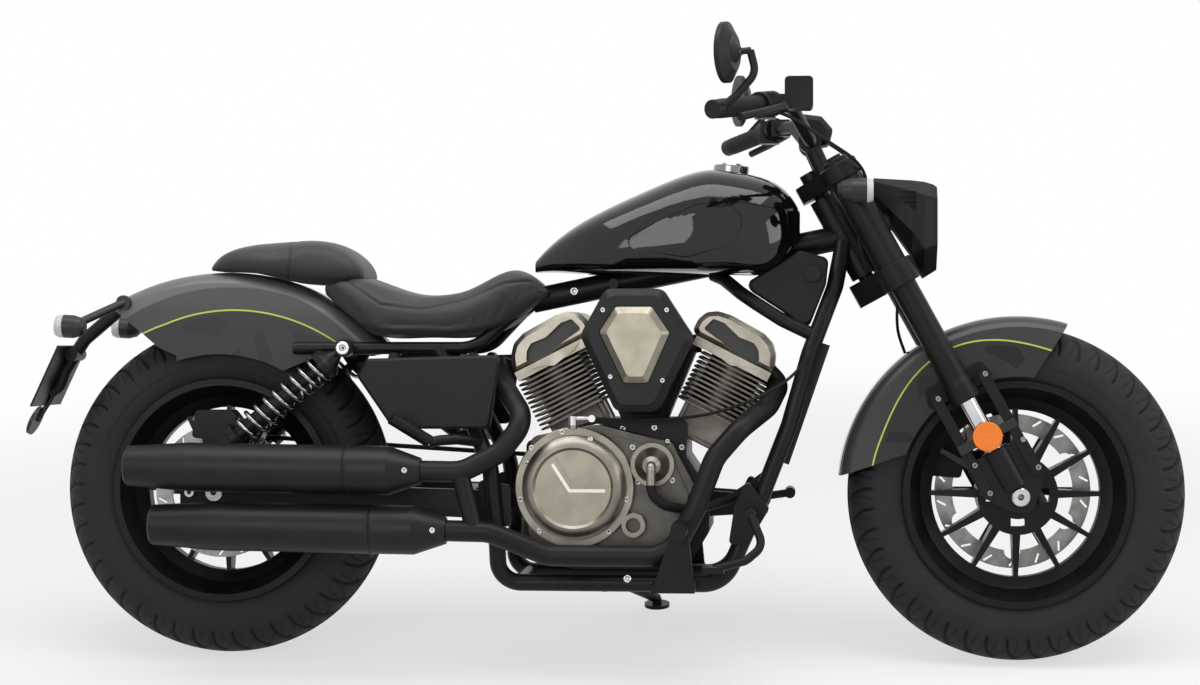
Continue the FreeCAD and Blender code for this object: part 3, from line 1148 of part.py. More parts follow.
nodes["cylinders"] = Part.makeCompound([on_cylinder(cylinder(), 1), on_cylinder(cylinder(), -1)])
nodes["cylinder_heads"] = Part.makeCompound([on_cylinder(cylinder_head(), 1),
                                             on_cylinder(cylinder_head(), -1)])
nodes["rocker_covers"] = Part.makeCompound([on_cylinder(rocker_cover(), 1), on_cylinder(rocker_cover(), -1)])
case_core = side_plate(outlined(CASE_SHARES, CASE_REAR, CASE_BASE, CASE_LENGTH, CASE_HEIGHT), -CASE_HALF,
                       CASE_HALF, CASE_BEND)
belt_room = block(vec(CASE_REAR - OVERRUN, CASE_LEFT_REAR, CASE_BASE - OVERRUN),
                  vec(BELT_ROOM_X, CASE_HALF + OVERRUN, CASE_BASE + CASE_HEIGHT + OVERRUN))
gear_shaft = cross_rod(SHAFT_X, SHAFT_Z, CASE_LEFT_REAR - SHAFT_RADIUS, PULLEY_OUT + SHAFT_RADIUS / 2,
                       SHAFT_RADIUS)
bore_room = []
for side in (1, -1):
    bore_room.append(on_cylinder(rod(vec(0, 0, FIN_FROM - BARREL_FOOT - SEAT_GAP), vec(0, 0, FIN_TO),
                                     BARREL_RADIUS + SEAT_GAP), side))
    bore_room.append(on_cylinder(block(vec(-FIN_HALF - SEAT_GAP, -FIN_SIDE - SEAT_GAP, FIN_FROM - SEAT_GAP),
                                       vec(FIN_HALF + SEAT_GAP, FIN_SIDE + SEAT_GAP, FIN_TO)), side))
engine_mounts = []
for near, far in ((CASE_REAR + CASE_LENGTH - MOUNT_HALF, front_cross), (CASE_REAR + MOUNT_HALF, PIVOT)):
    reach = math.copysign(MOUNT_HALF * 2 / 3, far.x - near)
    plate = side_plate([(near, far.z - MOUNT_HALF), (far.x + reach, far.z - MOUNT_HALF * 2 / 3),
                        (far.x + reach, far.z + MOUNT_HALF * 2 / 3), (near, far.z
                                                                      + MOUNT_HALF)], MOUNT_IN - MOUNT_THICK, MOUNT_IN)
    engine_mounts += [plate, mirrored(plate)]
case_solid = fuse([case_core.cut(belt_room), gear_shaft] + engine_mounts)
nodes["crankcase"] = cut(case_solid, bore_room + [frame_solid])

# Engine covers: clutch and water pump on the right, generator and pulley guard on the left
CLUTCH_X = 696.0
CLUTCH_Z = 336.0
CLUTCH_RIM_RADIUS = 113.0
CLUTCH_FACE_RADIUS = 99.0
CLUTCH_DISC_RADIUS = 71.0
CLUTCH_OUT = 190.0
CLUTCH_RIM_OUT = 160.0
CLUTCH_FACE_OUT = 176.0
CLUTCH_DISH = 5.0
COVER_THICK = 32.0
COVER_LENGTH = 321.0
COVER_HEIGHT = 259.0
COVER_REAR = 604.0
COVER_BASE = 196.0
COVER_STEP = 8.0
COVER_SHARES = [(0.0, 0.208), (0.112, 0.015), (0.798, 0.0), (1.0, 0.208), (1.0, 0.517), (0.86, 0.865),
                (0.424, 1.0), (0.012, 0.903)]
COVER_INNER_SHARES = [(0.42, 0.10), (0.76, 0.06), (0.95, 0.24), (0.95, 0.50), (0.84, 0.80), (0.46, 0.93)]
PUMP_X = 843.0
PUMP_Z = 379.0
PUMP_RADIUS = 41.0
PUMP_CONE_RADIUS = 33.0
PUMP_SPOUT_RADIUS = 8.5
PUMP_DROP = 36.0
OIL_X = 807.0
OIL_Z = 265.0
OIL_RADIUS = 24.0
OIL_BORE = 14.0
RIB_HALF = 2.0
RIB_RISE = 2.5
right_face = -CASE_HALF - SEAT_GAP
RIB_SHARES = [(-0.49, 0.80), (-0.05, 0.06), (0.93, 0.06)]
clutch_centre = vec(CLUTCH_X, 0, CLUTCH_Z)
clutch = turned([
    (right_face, 0), (right_face, CLUTCH_RIM_RADIUS), (-CLUTCH_RIM_OUT + EDGE_BREAK, CLUTCH_RIM_RADIUS),
    (-CLUTCH_RIM_OUT, CLUTCH_RIM_RADIUS - EDGE_BREAK), (-CLUTCH_RIM_OUT,
                                                        CLUTCH_FACE_RADIUS), (-CLUTCH_FACE_OUT,
                                                                CLUTCH_FACE_RADIUS - EDGE_BREAK),
    ("arc", -(CLUTCH_FACE_OUT + CLUTCH_OUT) / 2 - EDGE_BREAK,
     (CLUTCH_FACE_RADIUS + CLUTCH_DISC_RADIUS) / 2 + EDGE_BREAK),
    (-CLUTCH_OUT, CLUTCH_DISC_RADIUS + CLUTCH_DISH), (-CLUTCH_OUT + CLUTCH_DISH,
                                                      CLUTCH_DISC_RADIUS), (-CLUTCH_OUT + CLUTCH_DISH, 0),
], clutch_centre)
rib_points = [(CLUTCH_X + along * CLUTCH_DISC_RADIUS, CLUTCH_Z + up * CLUTCH_DISC_RADIUS) for along,
              up in RIB_SHARES]
rib_in, rib_out = -CLUTCH_OUT + CLUTCH_DISH + EDGE_BREAK, -CLUTCH_OUT + CLUTCH_DISH - RIB_RISE
ribs = []
for (x1, z1), (x2, z2) in zip(rib_points, rib_points[1:]):
    way = vec(x2 - x1, 0, z2 - z1)
    way.normalize()
    over = way.cross(ACROSS) * RIB_HALF
    ribs.append(side_plate([(x1 - over.x, z1 - over.z), (x2 - over.x, z2 - over.z),
                            (x2 + over.x, z2 + over.z), (x1 + over.x, z1 + over.z)],
                           rib_in, rib_out))
pump = turned([(right_face, 0), (right_face, PUMP_RADIUS), (-CLUTCH_RIM_OUT, PUMP_RADIUS),
               (-CLUTCH_RIM_OUT, PUMP_CONE_RADIUS),
               (-CLUTCH_OUT + CLUTCH_DISH, PUMP_SPOUT_RADIUS * 2), (-CLUTCH_OUT,
                                                                    PUMP_SPOUT_RADIUS), (-CLUTCH_OUT, 0)],
              vec(PUMP_X, 0, PUMP_Z))
spout = pipe([vec(PUMP_X, -CLUTCH_OUT + PUMP_SPOUT_RADIUS, PUMP_Z),
              vec(PUMP_X, -CLUTCH_OUT - PUMP_SPOUT_RADIUS, PUMP_Z),
              vec(PUMP_X, -CLUTCH_OUT - PUMP_SPOUT_RADIUS, PUMP_Z
                  - PUMP_DROP)], PUMP_SPOUT_RADIUS, PUMP_SPOUT_RADIUS * 2)
oil_ring = turned([(right_face, 0), (right_face, OIL_RADIUS), (-CLUTCH_RIM_OUT + EDGE_BREAK, OIL_RADIUS),
                   (-CLUTCH_RIM_OUT, OIL_RADIUS - EDGE_BREAK),
                   (-CLUTCH_RIM_OUT, OIL_BORE), (right_face - COVER_THICK, OIL_BORE), (right_face
                           - COVER_THICK, 0)],
                  vec(OIL_X, 0, OIL_Z))
base_plate = bevelled_plate(outlined(COVER_SHARES, COVER_REAR, COVER_BASE, COVER_LENGTH, COVER_HEIGHT),
                            right_face,
                            right_face - COVER_THICK + COVER_STEP, CASE_BEND * 2, EDGE_BREAK)
step_plate = side_plate(outlined(COVER_INNER_SHARES, COVER_REAR, COVER_BASE, COVER_LENGTH, COVER_HEIGHT),
                        right_face,
                        right_face - COVER_THICK, CASE_BEND * 2)
nodes["right_engine_cover"] = fuse([base_plate, step_plate, clutch, pump, spout, oil_ring] + ribs)

LEFT_X = 825.0
LEFT_Z = 305.0
LEFT_RADIUS = 88.0
LEFT_DISC_RADIUS = 60.0
LEFT_THICK = 24.0
LEFT_OUT = 174.0
LEFT_LENGTH = 213.0
LEFT_HEIGHT = 220.0
LEFT_REAR = 712.0
LEFT_BASE = 200.0
LEFT_SHARES = [(0.0, 0.227), (0.131, 0.023), (0.789, 0.0), (1.0, 0.273), (1.0, 0.636), (0.789, 0.955),
               (0.272, 1.0), (0.0, 0.818)]
GUARD_LENGTH = 134.0
GUARD_HEIGHT = 140.0
GUARD_REAR = 572.0
GUARD_BASE = 262.0
GUARD_THICK = 14.0
GUARD_DOME = 8.0
GUARD_DOME_RADIUS = 42.0
GUARD_DOME_AHEAD = 36.0
GUARD_WALL = 12.0
GUARD_SHARES = [(0.15, 0.16), (0.24, 0.04), (0.88, 0.0), (1.0, 0.27), (1.0, 0.84), (0.88, 1.0),
                (0.21, 1.0), (0.0, 0.88), (0.0, 0.57), (0.15, 0.5)]
left_face = CASE_HALF + SEAT_GAP
left_plate = bevelled_plate(outlined(LEFT_SHARES, LEFT_REAR, LEFT_BASE, LEFT_LENGTH, LEFT_HEIGHT), left_face,
                            left_face + LEFT_THICK, CASE_BEND * 2, EDGE_BREAK)
left_drum = turned([(left_face, 0), (left_face, LEFT_RADIUS), (LEFT_OUT - CASE_BEND, LEFT_RADIUS),
                    (LEFT_OUT - EDGE_BREAK, LEFT_RADIUS - CASE_BEND),
                    (LEFT_OUT - EDGE_BREAK, LEFT_DISC_RADIUS), (LEFT_OUT, LEFT_DISC_RADIUS
                                                                - EDGE_BREAK), (LEFT_OUT, 0)], vec(LEFT_X,
                                                                        0, LEFT_Z))
nodes["left_engine_cover"] = left_plate.fuse(left_drum)
guard_end = GUARD_REAR + GUARD_LENGTH
guard_plate = bevelled_plate(outlined(GUARD_SHARES, GUARD_REAR, GUARD_BASE, GUARD_LENGTH, GUARD_HEIGHT),
                             left_face,
                             left_face + GUARD_THICK, CASE_BEND, EDGE_BREAK)
guard_wall = block(vec(guard_end - GUARD_WALL, BELT_HIGH - GUARD_WALL, GUARD_BASE + GUARD_WALL),
                   vec(guard_end, left_face + EDGE_BREAK, GUARD_BASE + GUARD_HEIGHT - GUARD_WALL))
nodes["pulley_guard"] = cut(fuse([
    guard_plate, cross_rod(SHAFT_X + GUARD_DOME_AHEAD, SHAFT_Z, left_face, left_face + GUARD_THICK
                           + GUARD_DOME, GUARD_DOME_RADIUS),
    guard_wall]), [nodes["crankcase"], nodes["left_engine_cover"]])

# Clutch arm on top of the clutch cover
ARM_PIN_RADIUS = 8.0
ARM_PIN_Y = 168.0
ARM_PIN_BACK = 3.0
ARM_PIN_TOP = 470.0
ARM_PIN_FOOT = 446.0
ARM_LEVER_LENGTH = 36.0
ARM_LEVER_OUT = 14.0
ARM_LEVER_RADIUS = 4.5
arm_pin = vec(CLUTCH_X - ARM_PIN_BACK, -ARM_PIN_Y, ARM_PIN_TOP)
nodes["clutch_arm"] = fuse([
    rod(vec(arm_pin.x, arm_pin.y + ARM_PIN_RADIUS, ARM_PIN_FOOT),
        vec(arm_pin.x, arm_pin.y + ARM_PIN_RADIUS, ARM_PIN_TOP), ARM_PIN_RADIUS),
    rod(arm_pin + vec(0, ARM_PIN_RADIUS, -ARM_LEVER_RADIUS), arm_pin
        + vec(ARM_LEVER_LENGTH, ARM_LEVER_OUT, -ARM_LEVER_RADIUS), ARM_LEVER_RADIUS),
    cross_rod(arm_pin.x + ARM_LEVER_LENGTH, arm_pin.z - ARM_LEVER_RADIUS, arm_pin.y + ARM_LEVER_OUT
              - ARM_PIN_RADIUS,
              arm_pin.y + ARM_LEVER_OUT + ARM_PIN_RADIUS, ARM_LEVER_RADIUS * 1.5)]).cut(nodes["right_engine_cover"])

# Air cleaner: a six-sided box between the cylinders on the right, with a raised panel in its ring
AIR_IN = 104.0
AIR_BASE_OUT = 150.0
AIR_RING_OUT = 208.0
AIR_PANEL_OUT = 220.0
AIR_PANEL_IN = 202.0
AIR_LENGTH = 213.0
AIR_HEIGHT = 229.0
AIR_REAR = 710.0
AIR_FOOT = 480.0
AIR_BEND = 20.0
AIR_BEVEL = 13.0
AIR_NECK_RADIUS = 34.0
AIR_NECK_X = 812.0
AIR_NECK_Z = 590.0
AIR_SHARES = [(0.225, 1.0), (0.723, 1.0), (1.0, 0.60), (0.676, 0.0), (0.31, 0.0), (0.0, 0.62)]
AIR_BASE_SHARES = [(0.235, 0.917), (0.714, 0.917), (0.915, 0.603), (0.657, 0.087), (0.329, 0.087),
                   (0.085, 0.62)]
AIR_PANEL_SHARES = [(0.31, 0.86), (0.64, 0.86), (0.80, 0.64), (0.605, 0.225), (0.385, 0.225), (0.165, 0.65)]
RUNNER_RADIUS = 18.0
RUNNER_Y = 34.0
air_base = side_plate(outlined(AIR_BASE_SHARES, AIR_REAR, AIR_FOOT, AIR_LENGTH, AIR_HEIGHT), -AIR_IN,
                      -AIR_BASE_OUT, AIR_BEND)
air_ring = bevelled_plate(outlined(AIR_SHARES, AIR_REAR, AIR_FOOT, AIR_LENGTH, AIR_HEIGHT), -AIR_BASE_OUT,
                          -AIR_RING_OUT,
                          AIR_BEND, AIR_BEVEL)
panel_outline = outlined(AIR_PANEL_SHARES, AIR_REAR, AIR_FOOT, AIR_LENGTH, AIR_HEIGHT)
panel_room = side_plate(panel_outline, -AIR_PANEL_IN, -AIR_RING_OUT - OVERRUN, AIR_BEND / 2)
air_neck = cross_rod(AIR_NECK_X, AIR_NECK_Z, -AIR_NECK_RADIUS / 2, -AIR_IN - EDGE_BREAK, AIR_NECK_RADIUS)
runner = rod(vec(AIR_NECK_X, -RUNNER_Y, AIR_NECK_Z),
             vec(2 * CRANK_X - AIR_NECK_X + HEAD_SIDE, -RUNNER_Y, AIR_NECK_Z
                 + RUNNER_RADIUS), RUNNER_RADIUS)
rear_runner = rod(vec(AIR_NECK_X, -RUNNER_Y, AIR_NECK_Z),
                  vec(AIR_NECK_X - HEAD_SIDE, -RUNNER_Y, AIR_NECK_Z + RUNNER_RADIUS), RUNNER_RADIUS)
nodes["air_cleaner"] = cut(fuse([air_base, air_ring, air_neck, runner, rear_runner]),
                           [panel_room, nodes["cylinder_heads"], nodes["cylinders"], nodes["rocker_covers"]])
nodes["air_panel"] = bevelled_plate(inset(panel_outline, EDGE_BREAK), -AIR_PANEL_IN - SEAT_GAP,
                                    -AIR_PANEL_OUT, AIR_BEND / 2,
                                    AIR_PANEL_OUT - AIR_RING_OUT)

# Fuel tank over the backbone, with a tunnel for it underneath and a recessed panel in each side
TANK_START = 609.0
TANK_LENGTH = 510.0
TANK_HALF = 146.0
TANK_BASE = 740.0
TANK_HEIGHT = 202.0
TANK_SHARES = [
    (0.00, 0.30, 0.02, 0.14), (0.17, 0.70, 0.01, 0.495), (0.33, 0.92, 0.0, 0.70), (0.475, 1.0, 0.0, 0.86),
    (0.675, 1.0, 0.0, 1.0), (0.79, 0.94, 0.0, 0.96), (0.894, 0.80, 0.03, 0.885), (0.957, 0.62, 0.17, 0.77),
    (1.0, 0.34, 0.40, 0.60),
]
TANK_WAIST_SHARE = 0.34
TANK_UPPER_POWER = 0.72
TANK_LOWER_POWER = 0.5
TUNNEL_RISE_REAR = 22.0
TUNNEL_RISE_FRONT = 38.0
RECESS_X = 765.0
RECESS_Z = 768.0
RECESS_LENGTH = 255.0
RECESS_HEIGHT = 108.0
RECESS_DEPTH = 3.0
RECESS_BEND = 42.0
RECESS_SHARES = [(0.0, 0.22), (0.34, 0.64), (0.62, 0.93), (0.84, 1.0), (1.0, 0.68), (0.88, 0.22), (0.55, 0.0)]
tank_body = body_loft(TANK_START, TANK_LENGTH, TANK_HALF, TANK_BASE, TANK_HEIGHT, TANK_SHARES,
                      TANK_WAIST_SHARE,
                      TANK_UPPER_POWER, TANK_LOWER_POWER)
tank_inner = body_loft(TANK_START, TANK_LENGTH, TANK_HALF - RECESS_DEPTH, TANK_BASE, TANK_HEIGHT,
                       TANK_SHARES, TANK_WAIST_SHARE,
                       TANK_UPPER_POWER, TANK_LOWER_POWER)
tunnel = side_plate([(head_middle.x + OVERRUN, TANK_BASE - OVERRUN),
                     (BACKBONE_REAR.x - OVERRUN, TANK_BASE - OVERRUN),
                     (BACKBONE_REAR.x - OVERRUN, BACKBONE_REAR.z + TUNNEL_RISE_REAR),
                     (head_middle.x + OVERRUN, head_middle.z + TUNNEL_RISE_FRONT)], -TUNNEL_HALF, TUNNEL_HALF)
recess = side_plate(outlined(RECESS_SHARES, RECESS_X, RECESS_Z, RECESS_LENGTH, RECESS_HEIGHT),
                    TANK_HALF / 2, TANK_HALF + OVERRUN,
                    RECESS_BEND).cut(tank_inner)
CAP_X = 985.0
CAP_Z = 925.0
CAP_RADIUS = 34.0
CAP_HEIGHT = 26.0
CAP_GRIP_RADIUS = 20.0
CAP_GRIP = 4.0
CAP_TILT = 4.0
cap_low = vec(CAP_X, 0, CAP_Z)
cap_way = vec(math.sin(math.radians(CAP_TILT)), 0, math.cos(math.radians(CAP_TILT)))
nodes["fuel_tank"] = cut(tank_body, [tunnel, recess, mirrored(recess),
                                     rod(cap_low - cap_way * SEAT_GAP, cap_low + cap_way * OVERRUN * 2,
                                         CAP_RADIUS + SEAT_GAP)])
nodes["fuel_cap"] = spun([(0, 0), (0, CAP_RADIUS), (CAP_HEIGHT - EDGE_BREAK, CAP_RADIUS),
                          (CAP_HEIGHT, CAP_RADIUS - EDGE_BREAK),
                          (CAP_HEIGHT, CAP_GRIP_RADIUS), (CAP_HEIGHT + CAP_GRIP, CAP_GRIP_RADIUS
                                                          - EDGE_BREAK), (CAP_HEIGHT + CAP_GRIP, 0)],
                         cap_low, cap_way)

# Rear fender over the tyre, with the two seats on it
REAR_FENDER_RADIUS = 424.0
REAR_FENDER_SKIRT = 264.0
REAR_FENDER_FROM = 40.0
REAR_FENDER_TO = 122.0
REAR_TRIM_SHARES = [(-0.198, 0.42), (-0.198, 0.616), (-0.281, 0.653), (-0.351, 0.712), (-0.507, 0.84),
                    (-0.943, 0.84), (-0.943, 0.42)]
FRONT_TRIM_SHARES = [(0.283, 0.184), (0.283, 0.542), (0.472, 0.62), (0.943, 0.62), (0.943, 0.184)]
PASSENGER_START = -26.0
PASSENGER_LENGTH = 308.0
PASSENGER_HALF = 112.0
PASSENGER_BASE = 720.0
PASSENGER_HEIGHT = 84.0
PASSENGER_WAIST_SHARE = 0.35
PASSENGER_SHARES = [
    (0.0, 0.60, 0.30, 0.46), (0.12, 0.82, 0.22, 0.84), (0.31, 0.94, 0.14, 0.96), (0.5, 1.0, 0.06,
            1.0), (0.83, 1.0, 0.0, 0.93),
    (0.94, 0.9, 0.05, 0.66), (1.0, 0.6, 0.13, 0.27),
]
RIDER_START = 205.0
RIDER_LENGTH = 430.0
RIDER_HALF = 140.0
RIDER_BASE = 616.0
RIDER_HEIGHT = 130.0
RIDER_WAIST_SHARE = 0.45
RIDER_SHARES = [
    (0.0, 0.72, 0.62, 0.95), (0.10, 0.88, 0.30, 0.95), (0.23, 1.0, 0.03, 0.82), (0.39, 1.0, 0.0,
            0.645), (0.55, 1.0, 0.0, 0.63),
    (0.71, 0.94, 0.04, 0.81), (0.82, 0.80, 0.18, 0.99), (0.92, 0.60, 0.42, 0.92), (1.0, 0.4, 0.64, 0.74),
]
SEAT_UPPER_POWER = 0.6
SEAT_LOWER_POWER = 0.42


def about_rear_axle(shares):
    return outlined(shares, REAR_AXLE.x, REAR_AXLE.z, REAR_FENDER_RADIUS, REAR_FENDER_RADIUS)


nodes["rear_fender"] = cut(
    fender_shell(REAR_AXLE, REAR_FENDER_RADIUS, REAR_FENDER_HALF, REAR_FENDER_SKIRT, REAR_FENDER_FROM,
                 REAR_FENDER_TO),
    [side_plate(about_rear_axle(shares), -2 * REAR_FENDER_HALF, 2 * REAR_FENDER_HALF)
     for shares in (REAR_TRIM_SHARES, FRONT_TRIM_SHARES)])
fender_room = cross_rod(REAR_AXLE.x, REAR_AXLE.z, -2 * REAR_FENDER_HALF, 2 * REAR_FENDER_HALF,
                        REAR_FENDER_RADIUS + SEAT_GAP)
passenger = body_loft(PASSENGER_START, PASSENGER_LENGTH, PASSENGER_HALF, PASSENGER_BASE, PASSENGER_HEIGHT,
                      PASSENGER_SHARES,
                      PASSENGER_WAIST_SHARE, SEAT_UPPER_POWER, SEAT_LOWER_POWER)
nodes["passenger_seat"] = passenger.cut(fender_room)
rider = body_loft(RIDER_START, RIDER_LENGTH, RIDER_HALF, RIDER_BASE, RIDER_HEIGHT, RIDER_SHARES,
                  RIDER_WAIST_SHARE,
                  SEAT_UPPER_POWER, SEAT_LOWER_POWER)
passenger_room = body_loft(PASSENGER_START - SEAT_GAP, PASSENGER_LENGTH + 2 * SEAT_GAP, PASSENGER_HALF
                           + SEAT_GAP,
                           PASSENGER_BASE - SEAT_GAP, PASSENGER_HEIGHT + 2 * SEAT_GAP, PASSENGER_SHARES,
                           PASSENGER_WAIST_SHARE, SEAT_UPPER_POWER, SEAT_LOWER_POWER)
rail_room = pipe(rail_points, RAIL_RADIUS + SEAT_GAP, FRAME_BEND)
backbone_room = rod(head_middle, on_backbone(BACKBONE_REAR_X - BACKBONE_RADIUS), BACKBONE_RADIUS + SEAT_GAP)
rider_cut = cut(rider, [fender_room, passenger_room, rail_room, mirrored(rail_room), backbone_room])
nodes["rider_seat"] = max(rider_cut.Solids, key=lambda solid: solid.Volume)

# Side covers under the rider's seat, hung on the rails, and the battery box between them
SIDE_COVER_IN = 150.0
SIDE_COVER_OUT = 162.0
SIDE_COVER_REAR = 280.0
SIDE_COVER_BASE = 445.0
SIDE_COVER_LENGTH = 277.0
SIDE_COVER_HEIGHT = 140.0
SIDE_COVER_BEND = 10.0
SIDE_COVER_BEVEL = 5.0
SIDE_COVER_SHARES = [(0.076, 0.95), (0.0, 0.72), (0.227, 0.074), (0.422, 0.0), (0.921, 0.0), (1.0, 1.0)]
TAB_RADIUS = 9.0
TAB_SHARES = (0.25, 0.80)
BATTERY_REAR = 352.0
BATTERY_LENGTH = 118.0
BATTERY_BASE = 462.0
BATTERY_HALF = 92.0
side_cover = bevelled_plate(outlined(SIDE_COVER_SHARES, SIDE_COVER_REAR, SIDE_COVER_BASE,
                                     SIDE_COVER_LENGTH, SIDE_COVER_HEIGHT),
                            SIDE_COVER_IN, SIDE_COVER_OUT, SIDE_COVER_BEND, SIDE_COVER_BEVEL)
tabs = [cross_rod(SIDE_COVER_REAR + share * SIDE_COVER_LENGTH, SIDE_COVER_BASE + SIDE_COVER_HEIGHT
                  - TAB_RADIUS / 2, RAIL_Y,
                  SIDE_COVER_IN + EDGE_BREAK, TAB_RADIUS) for share in TAB_SHARES]
nodes["side_covers"] = pair(fuse([side_cover] + tabs).cut(rail_room))
nodes["battery_box"] = block(vec(BATTERY_REAR, -BATTERY_HALF, BATTERY_BASE),
                             vec(BATTERY_REAR + BATTERY_LENGTH, BATTERY_HALF, RAIL_Z - RAIL_RADIUS
                                 - SEAT_GAP))

# Silencers: two stacked on the right, tapered at both ends, and the pipes that feed and carry them
SILENCER_RADIUS = 46.0
SILENCER_TAIL_RADIUS = 38.0
SILENCER_TAIL_TAPER = 120.0
SILENCER_NOSE_TAPER = 60.0
SILENCER_SEAM = 140.0
SILENCER_SEAM_WIDTH = 5.0
SILENCER_Y = -215.0
SILENCER_LENGTH = 562.0
SILENCER_BORE = 27.0
SILENCER_BORE_DEPTH = 110.0
SILENCER_LIP = 4.0
SILENCER_TILT = 0.8
PIPE_RADIUS = 20.0
PIPE_BEND = 70.0
PIPE_COLLAR = 5.0
UPPER_NOSE_X = 413.0
UPPER_NOSE_Z = 368.0
LOWER_NOSE_X = 461.0
LOWER_NOSE_Z = 257.0
LINK_RADIUS = 17.0
LINK_UPPER = 73.0
LINK_LOWER = 53.0
HEADER_REACH = 200.0
FRONT_HEADER_REACH = 600.0
REAR_HEADER_SHARES = [(0.385, 0, -0.005), (0.735, 0.075, 0.17), (0.965, 0.15, 0.47), (0.735, 0.485, 0.77),
                      (0.615, 0.855, 0.99),
                      (0.725, 0.895, 0.935)]
FRONT_HEADER_SHARES = [(0.132, 0, -0.002), (0.315, 0.025, -0.077), (0.698, 0.025, -0.077),
                       (0.775, 0.025, 0.072),
                       (0.835, 0.032, 0.23), (0.912, 0.062, 0.318), (0.998, 0.172, 0.385), (1.031, 0.275,
                               0.452),
                       (0.985, 0.298, 0.499)]
silencer_way = vec(-math.cos(math.radians(SILENCER_TILT)), 0, math.sin(math.radians(SILENCER_TILT)))
UPPER_NOSE = vec(UPPER_NOSE_X, SILENCER_Y, UPPER_NOSE_Z)
LOWER_NOSE = vec(LOWER_NOSE_X, SILENCER_Y, LOWER_NOSE_Z)


def silencer(nose):
    """A can with a coned nose, a seam ring and a tapering, open tail."""
    length, seam, wide = SILENCER_LENGTH, SILENCER_SEAM, SILENCER_SEAM_WIDTH
    return spun([
        (0, 0), (0, PIPE_RADIUS + PIPE_COLLAR), (SILENCER_NOSE_TAPER, SILENCER_RADIUS), (seam - wide,
                SILENCER_RADIUS),
        (seam, SILENCER_RADIUS + EDGE_BREAK), (seam + wide, SILENCER_RADIUS), (length
                - SILENCER_TAIL_TAPER, SILENCER_RADIUS),
        (length - SILENCER_LIP, SILENCER_TAIL_RADIUS), (length, SILENCER_TAIL_RADIUS
                                                        - SILENCER_LIP), (length, SILENCER_BORE),
        (length - SILENCER_BORE_DEPTH, SILENCER_BORE), (length - SILENCER_BORE_DEPTH, 0),
    ], nose, silencer_way)


nodes["silencers"] = Part.makeCompound([silencer(UPPER_NOSE), silencer(LOWER_NOSE)])
header_routes = [
    [UPPER_NOSE + ALONG * SEAT_GAP] + from_shares(UPPER_NOSE, REAR_HEADER_SHARES, HEADER_REACH),
    [LOWER_NOSE + ALONG * SEAT_GAP] + from_shares(LOWER_NOSE, FRONT_HEADER_SHARES, FRONT_HEADER_REACH)]
nodes["exhaust_pipes"] = fuse([pipe(route, PIPE_RADIUS, PIPE_BEND) for route in header_routes]
                              + [rod(UPPER_NOSE + ALONG * LINK_UPPER, LOWER_NOSE + ALONG * LINK_LOWER,
                                     LINK_RADIUS)])
header_room = [pipe(route, PIPE_RADIUS + SEAT_GAP, PIPE_BEND) for route in header_routes]
for name in ("cylinder_heads", "rocker_covers", "cylinders"):
    nodes[name] = cut(nodes[name], header_room)

# Radiator between the down tubes, a tank down each side of its core, and the hose from the pump
RADIATOR_RISE = 18.0
RADIATOR_HEIGHT = 240.0
RADIATOR_TILT = 19.0
RADIATOR_THICK = 28.0
RADIATOR_CORE_HALF = 66.0
RADIATOR_HALF = 76.0
RADIATOR_AHEAD = 23.0
RADIATOR_TANK = 4.0
RADIATOR_TAB_RADIUS = 6.0
RADIATOR_TAB_SHARES = (0.12, 0.86)
HOSE_RADIUS = 9.0
HOSE_REACH = 240.0
HOSE_BEND = 55.0
HOSE_SHARES = [(0.0, 0.0, -0.03), (0.02, 0.005, -0.09), (0.10, 0.03, -0.16), (0.32, 0.16, -0.21),
               (0.60, 0.46, -0.14), (0.84, 0.57, 0.02),
               (0.985, 0.58, 0.14)]
radiator_way = vec(-math.sin(math.radians(RADIATOR_TILT)), 0, -math.cos(math.radians(RADIATOR_TILT)))
radiator_across = vec(radiator_way.z, 0, -radiator_way.x)
tube_top, tube_low = down_tube[2], down_tube[4]
radiator_top = tube_top + ALONG * RADIATOR_AHEAD + UP * RADIATOR_RISE
radiator_top.y = 0


def radiator_slab(half, thick):
    """A slab in the radiator's plane, centred on it."""
    corners = [radiator_top + radiator_across * (thick / 2), radiator_top - radiator_across * (thick / 2)]
    corners += [corner + radiator_way * RADIATOR_HEIGHT for corner in reversed(corners)]
    return side_plate([(corner.x, corner.z) for corner in corners], -half, half)


tank_slab = radiator_slab(RADIATOR_HALF, RADIATOR_THICK + RADIATOR_TANK)
tank_slab = tank_slab.cut(radiator_slab(RADIATOR_CORE_HALF, RADIATOR_THICK * 2))
radiator_tabs = []
for share in RADIATOR_TAB_SHARES:
    tab = radiator_top + radiator_way * (share * RADIATOR_HEIGHT)
    tube = tube_top + (tube_low - tube_top) * ((tube_top.z - tab.z) / (tube_top.z - tube_low.z))
    radiator_tabs.append(rod(vec(tab.x, RADIATOR_CORE_HALF + EDGE_BREAK, tab.z), tube, RADIATOR_TAB_RADIUS))
nodes["radiator"] = cut(fuse([radiator_slab(RADIATOR_CORE_HALF, RADIATOR_THICK), tank_slab] + radiator_tabs
                             + [mirrored(tab) for tab in radiator_tabs]), [frame_solid])
spout_end = vec(PUMP_X, -CLUTCH_OUT - PUMP_SPOUT_RADIUS, PUMP_Z - PUMP_DROP)
nodes["coolant_hose"] = pipe([spout_end - UP * SEAT_GAP] + from_shares(spout_end, HOSE_SHARES, HOSE_REACH),
                             HOSE_RADIUS,
                             HOSE_BEND).cut(nodes["radiator"])

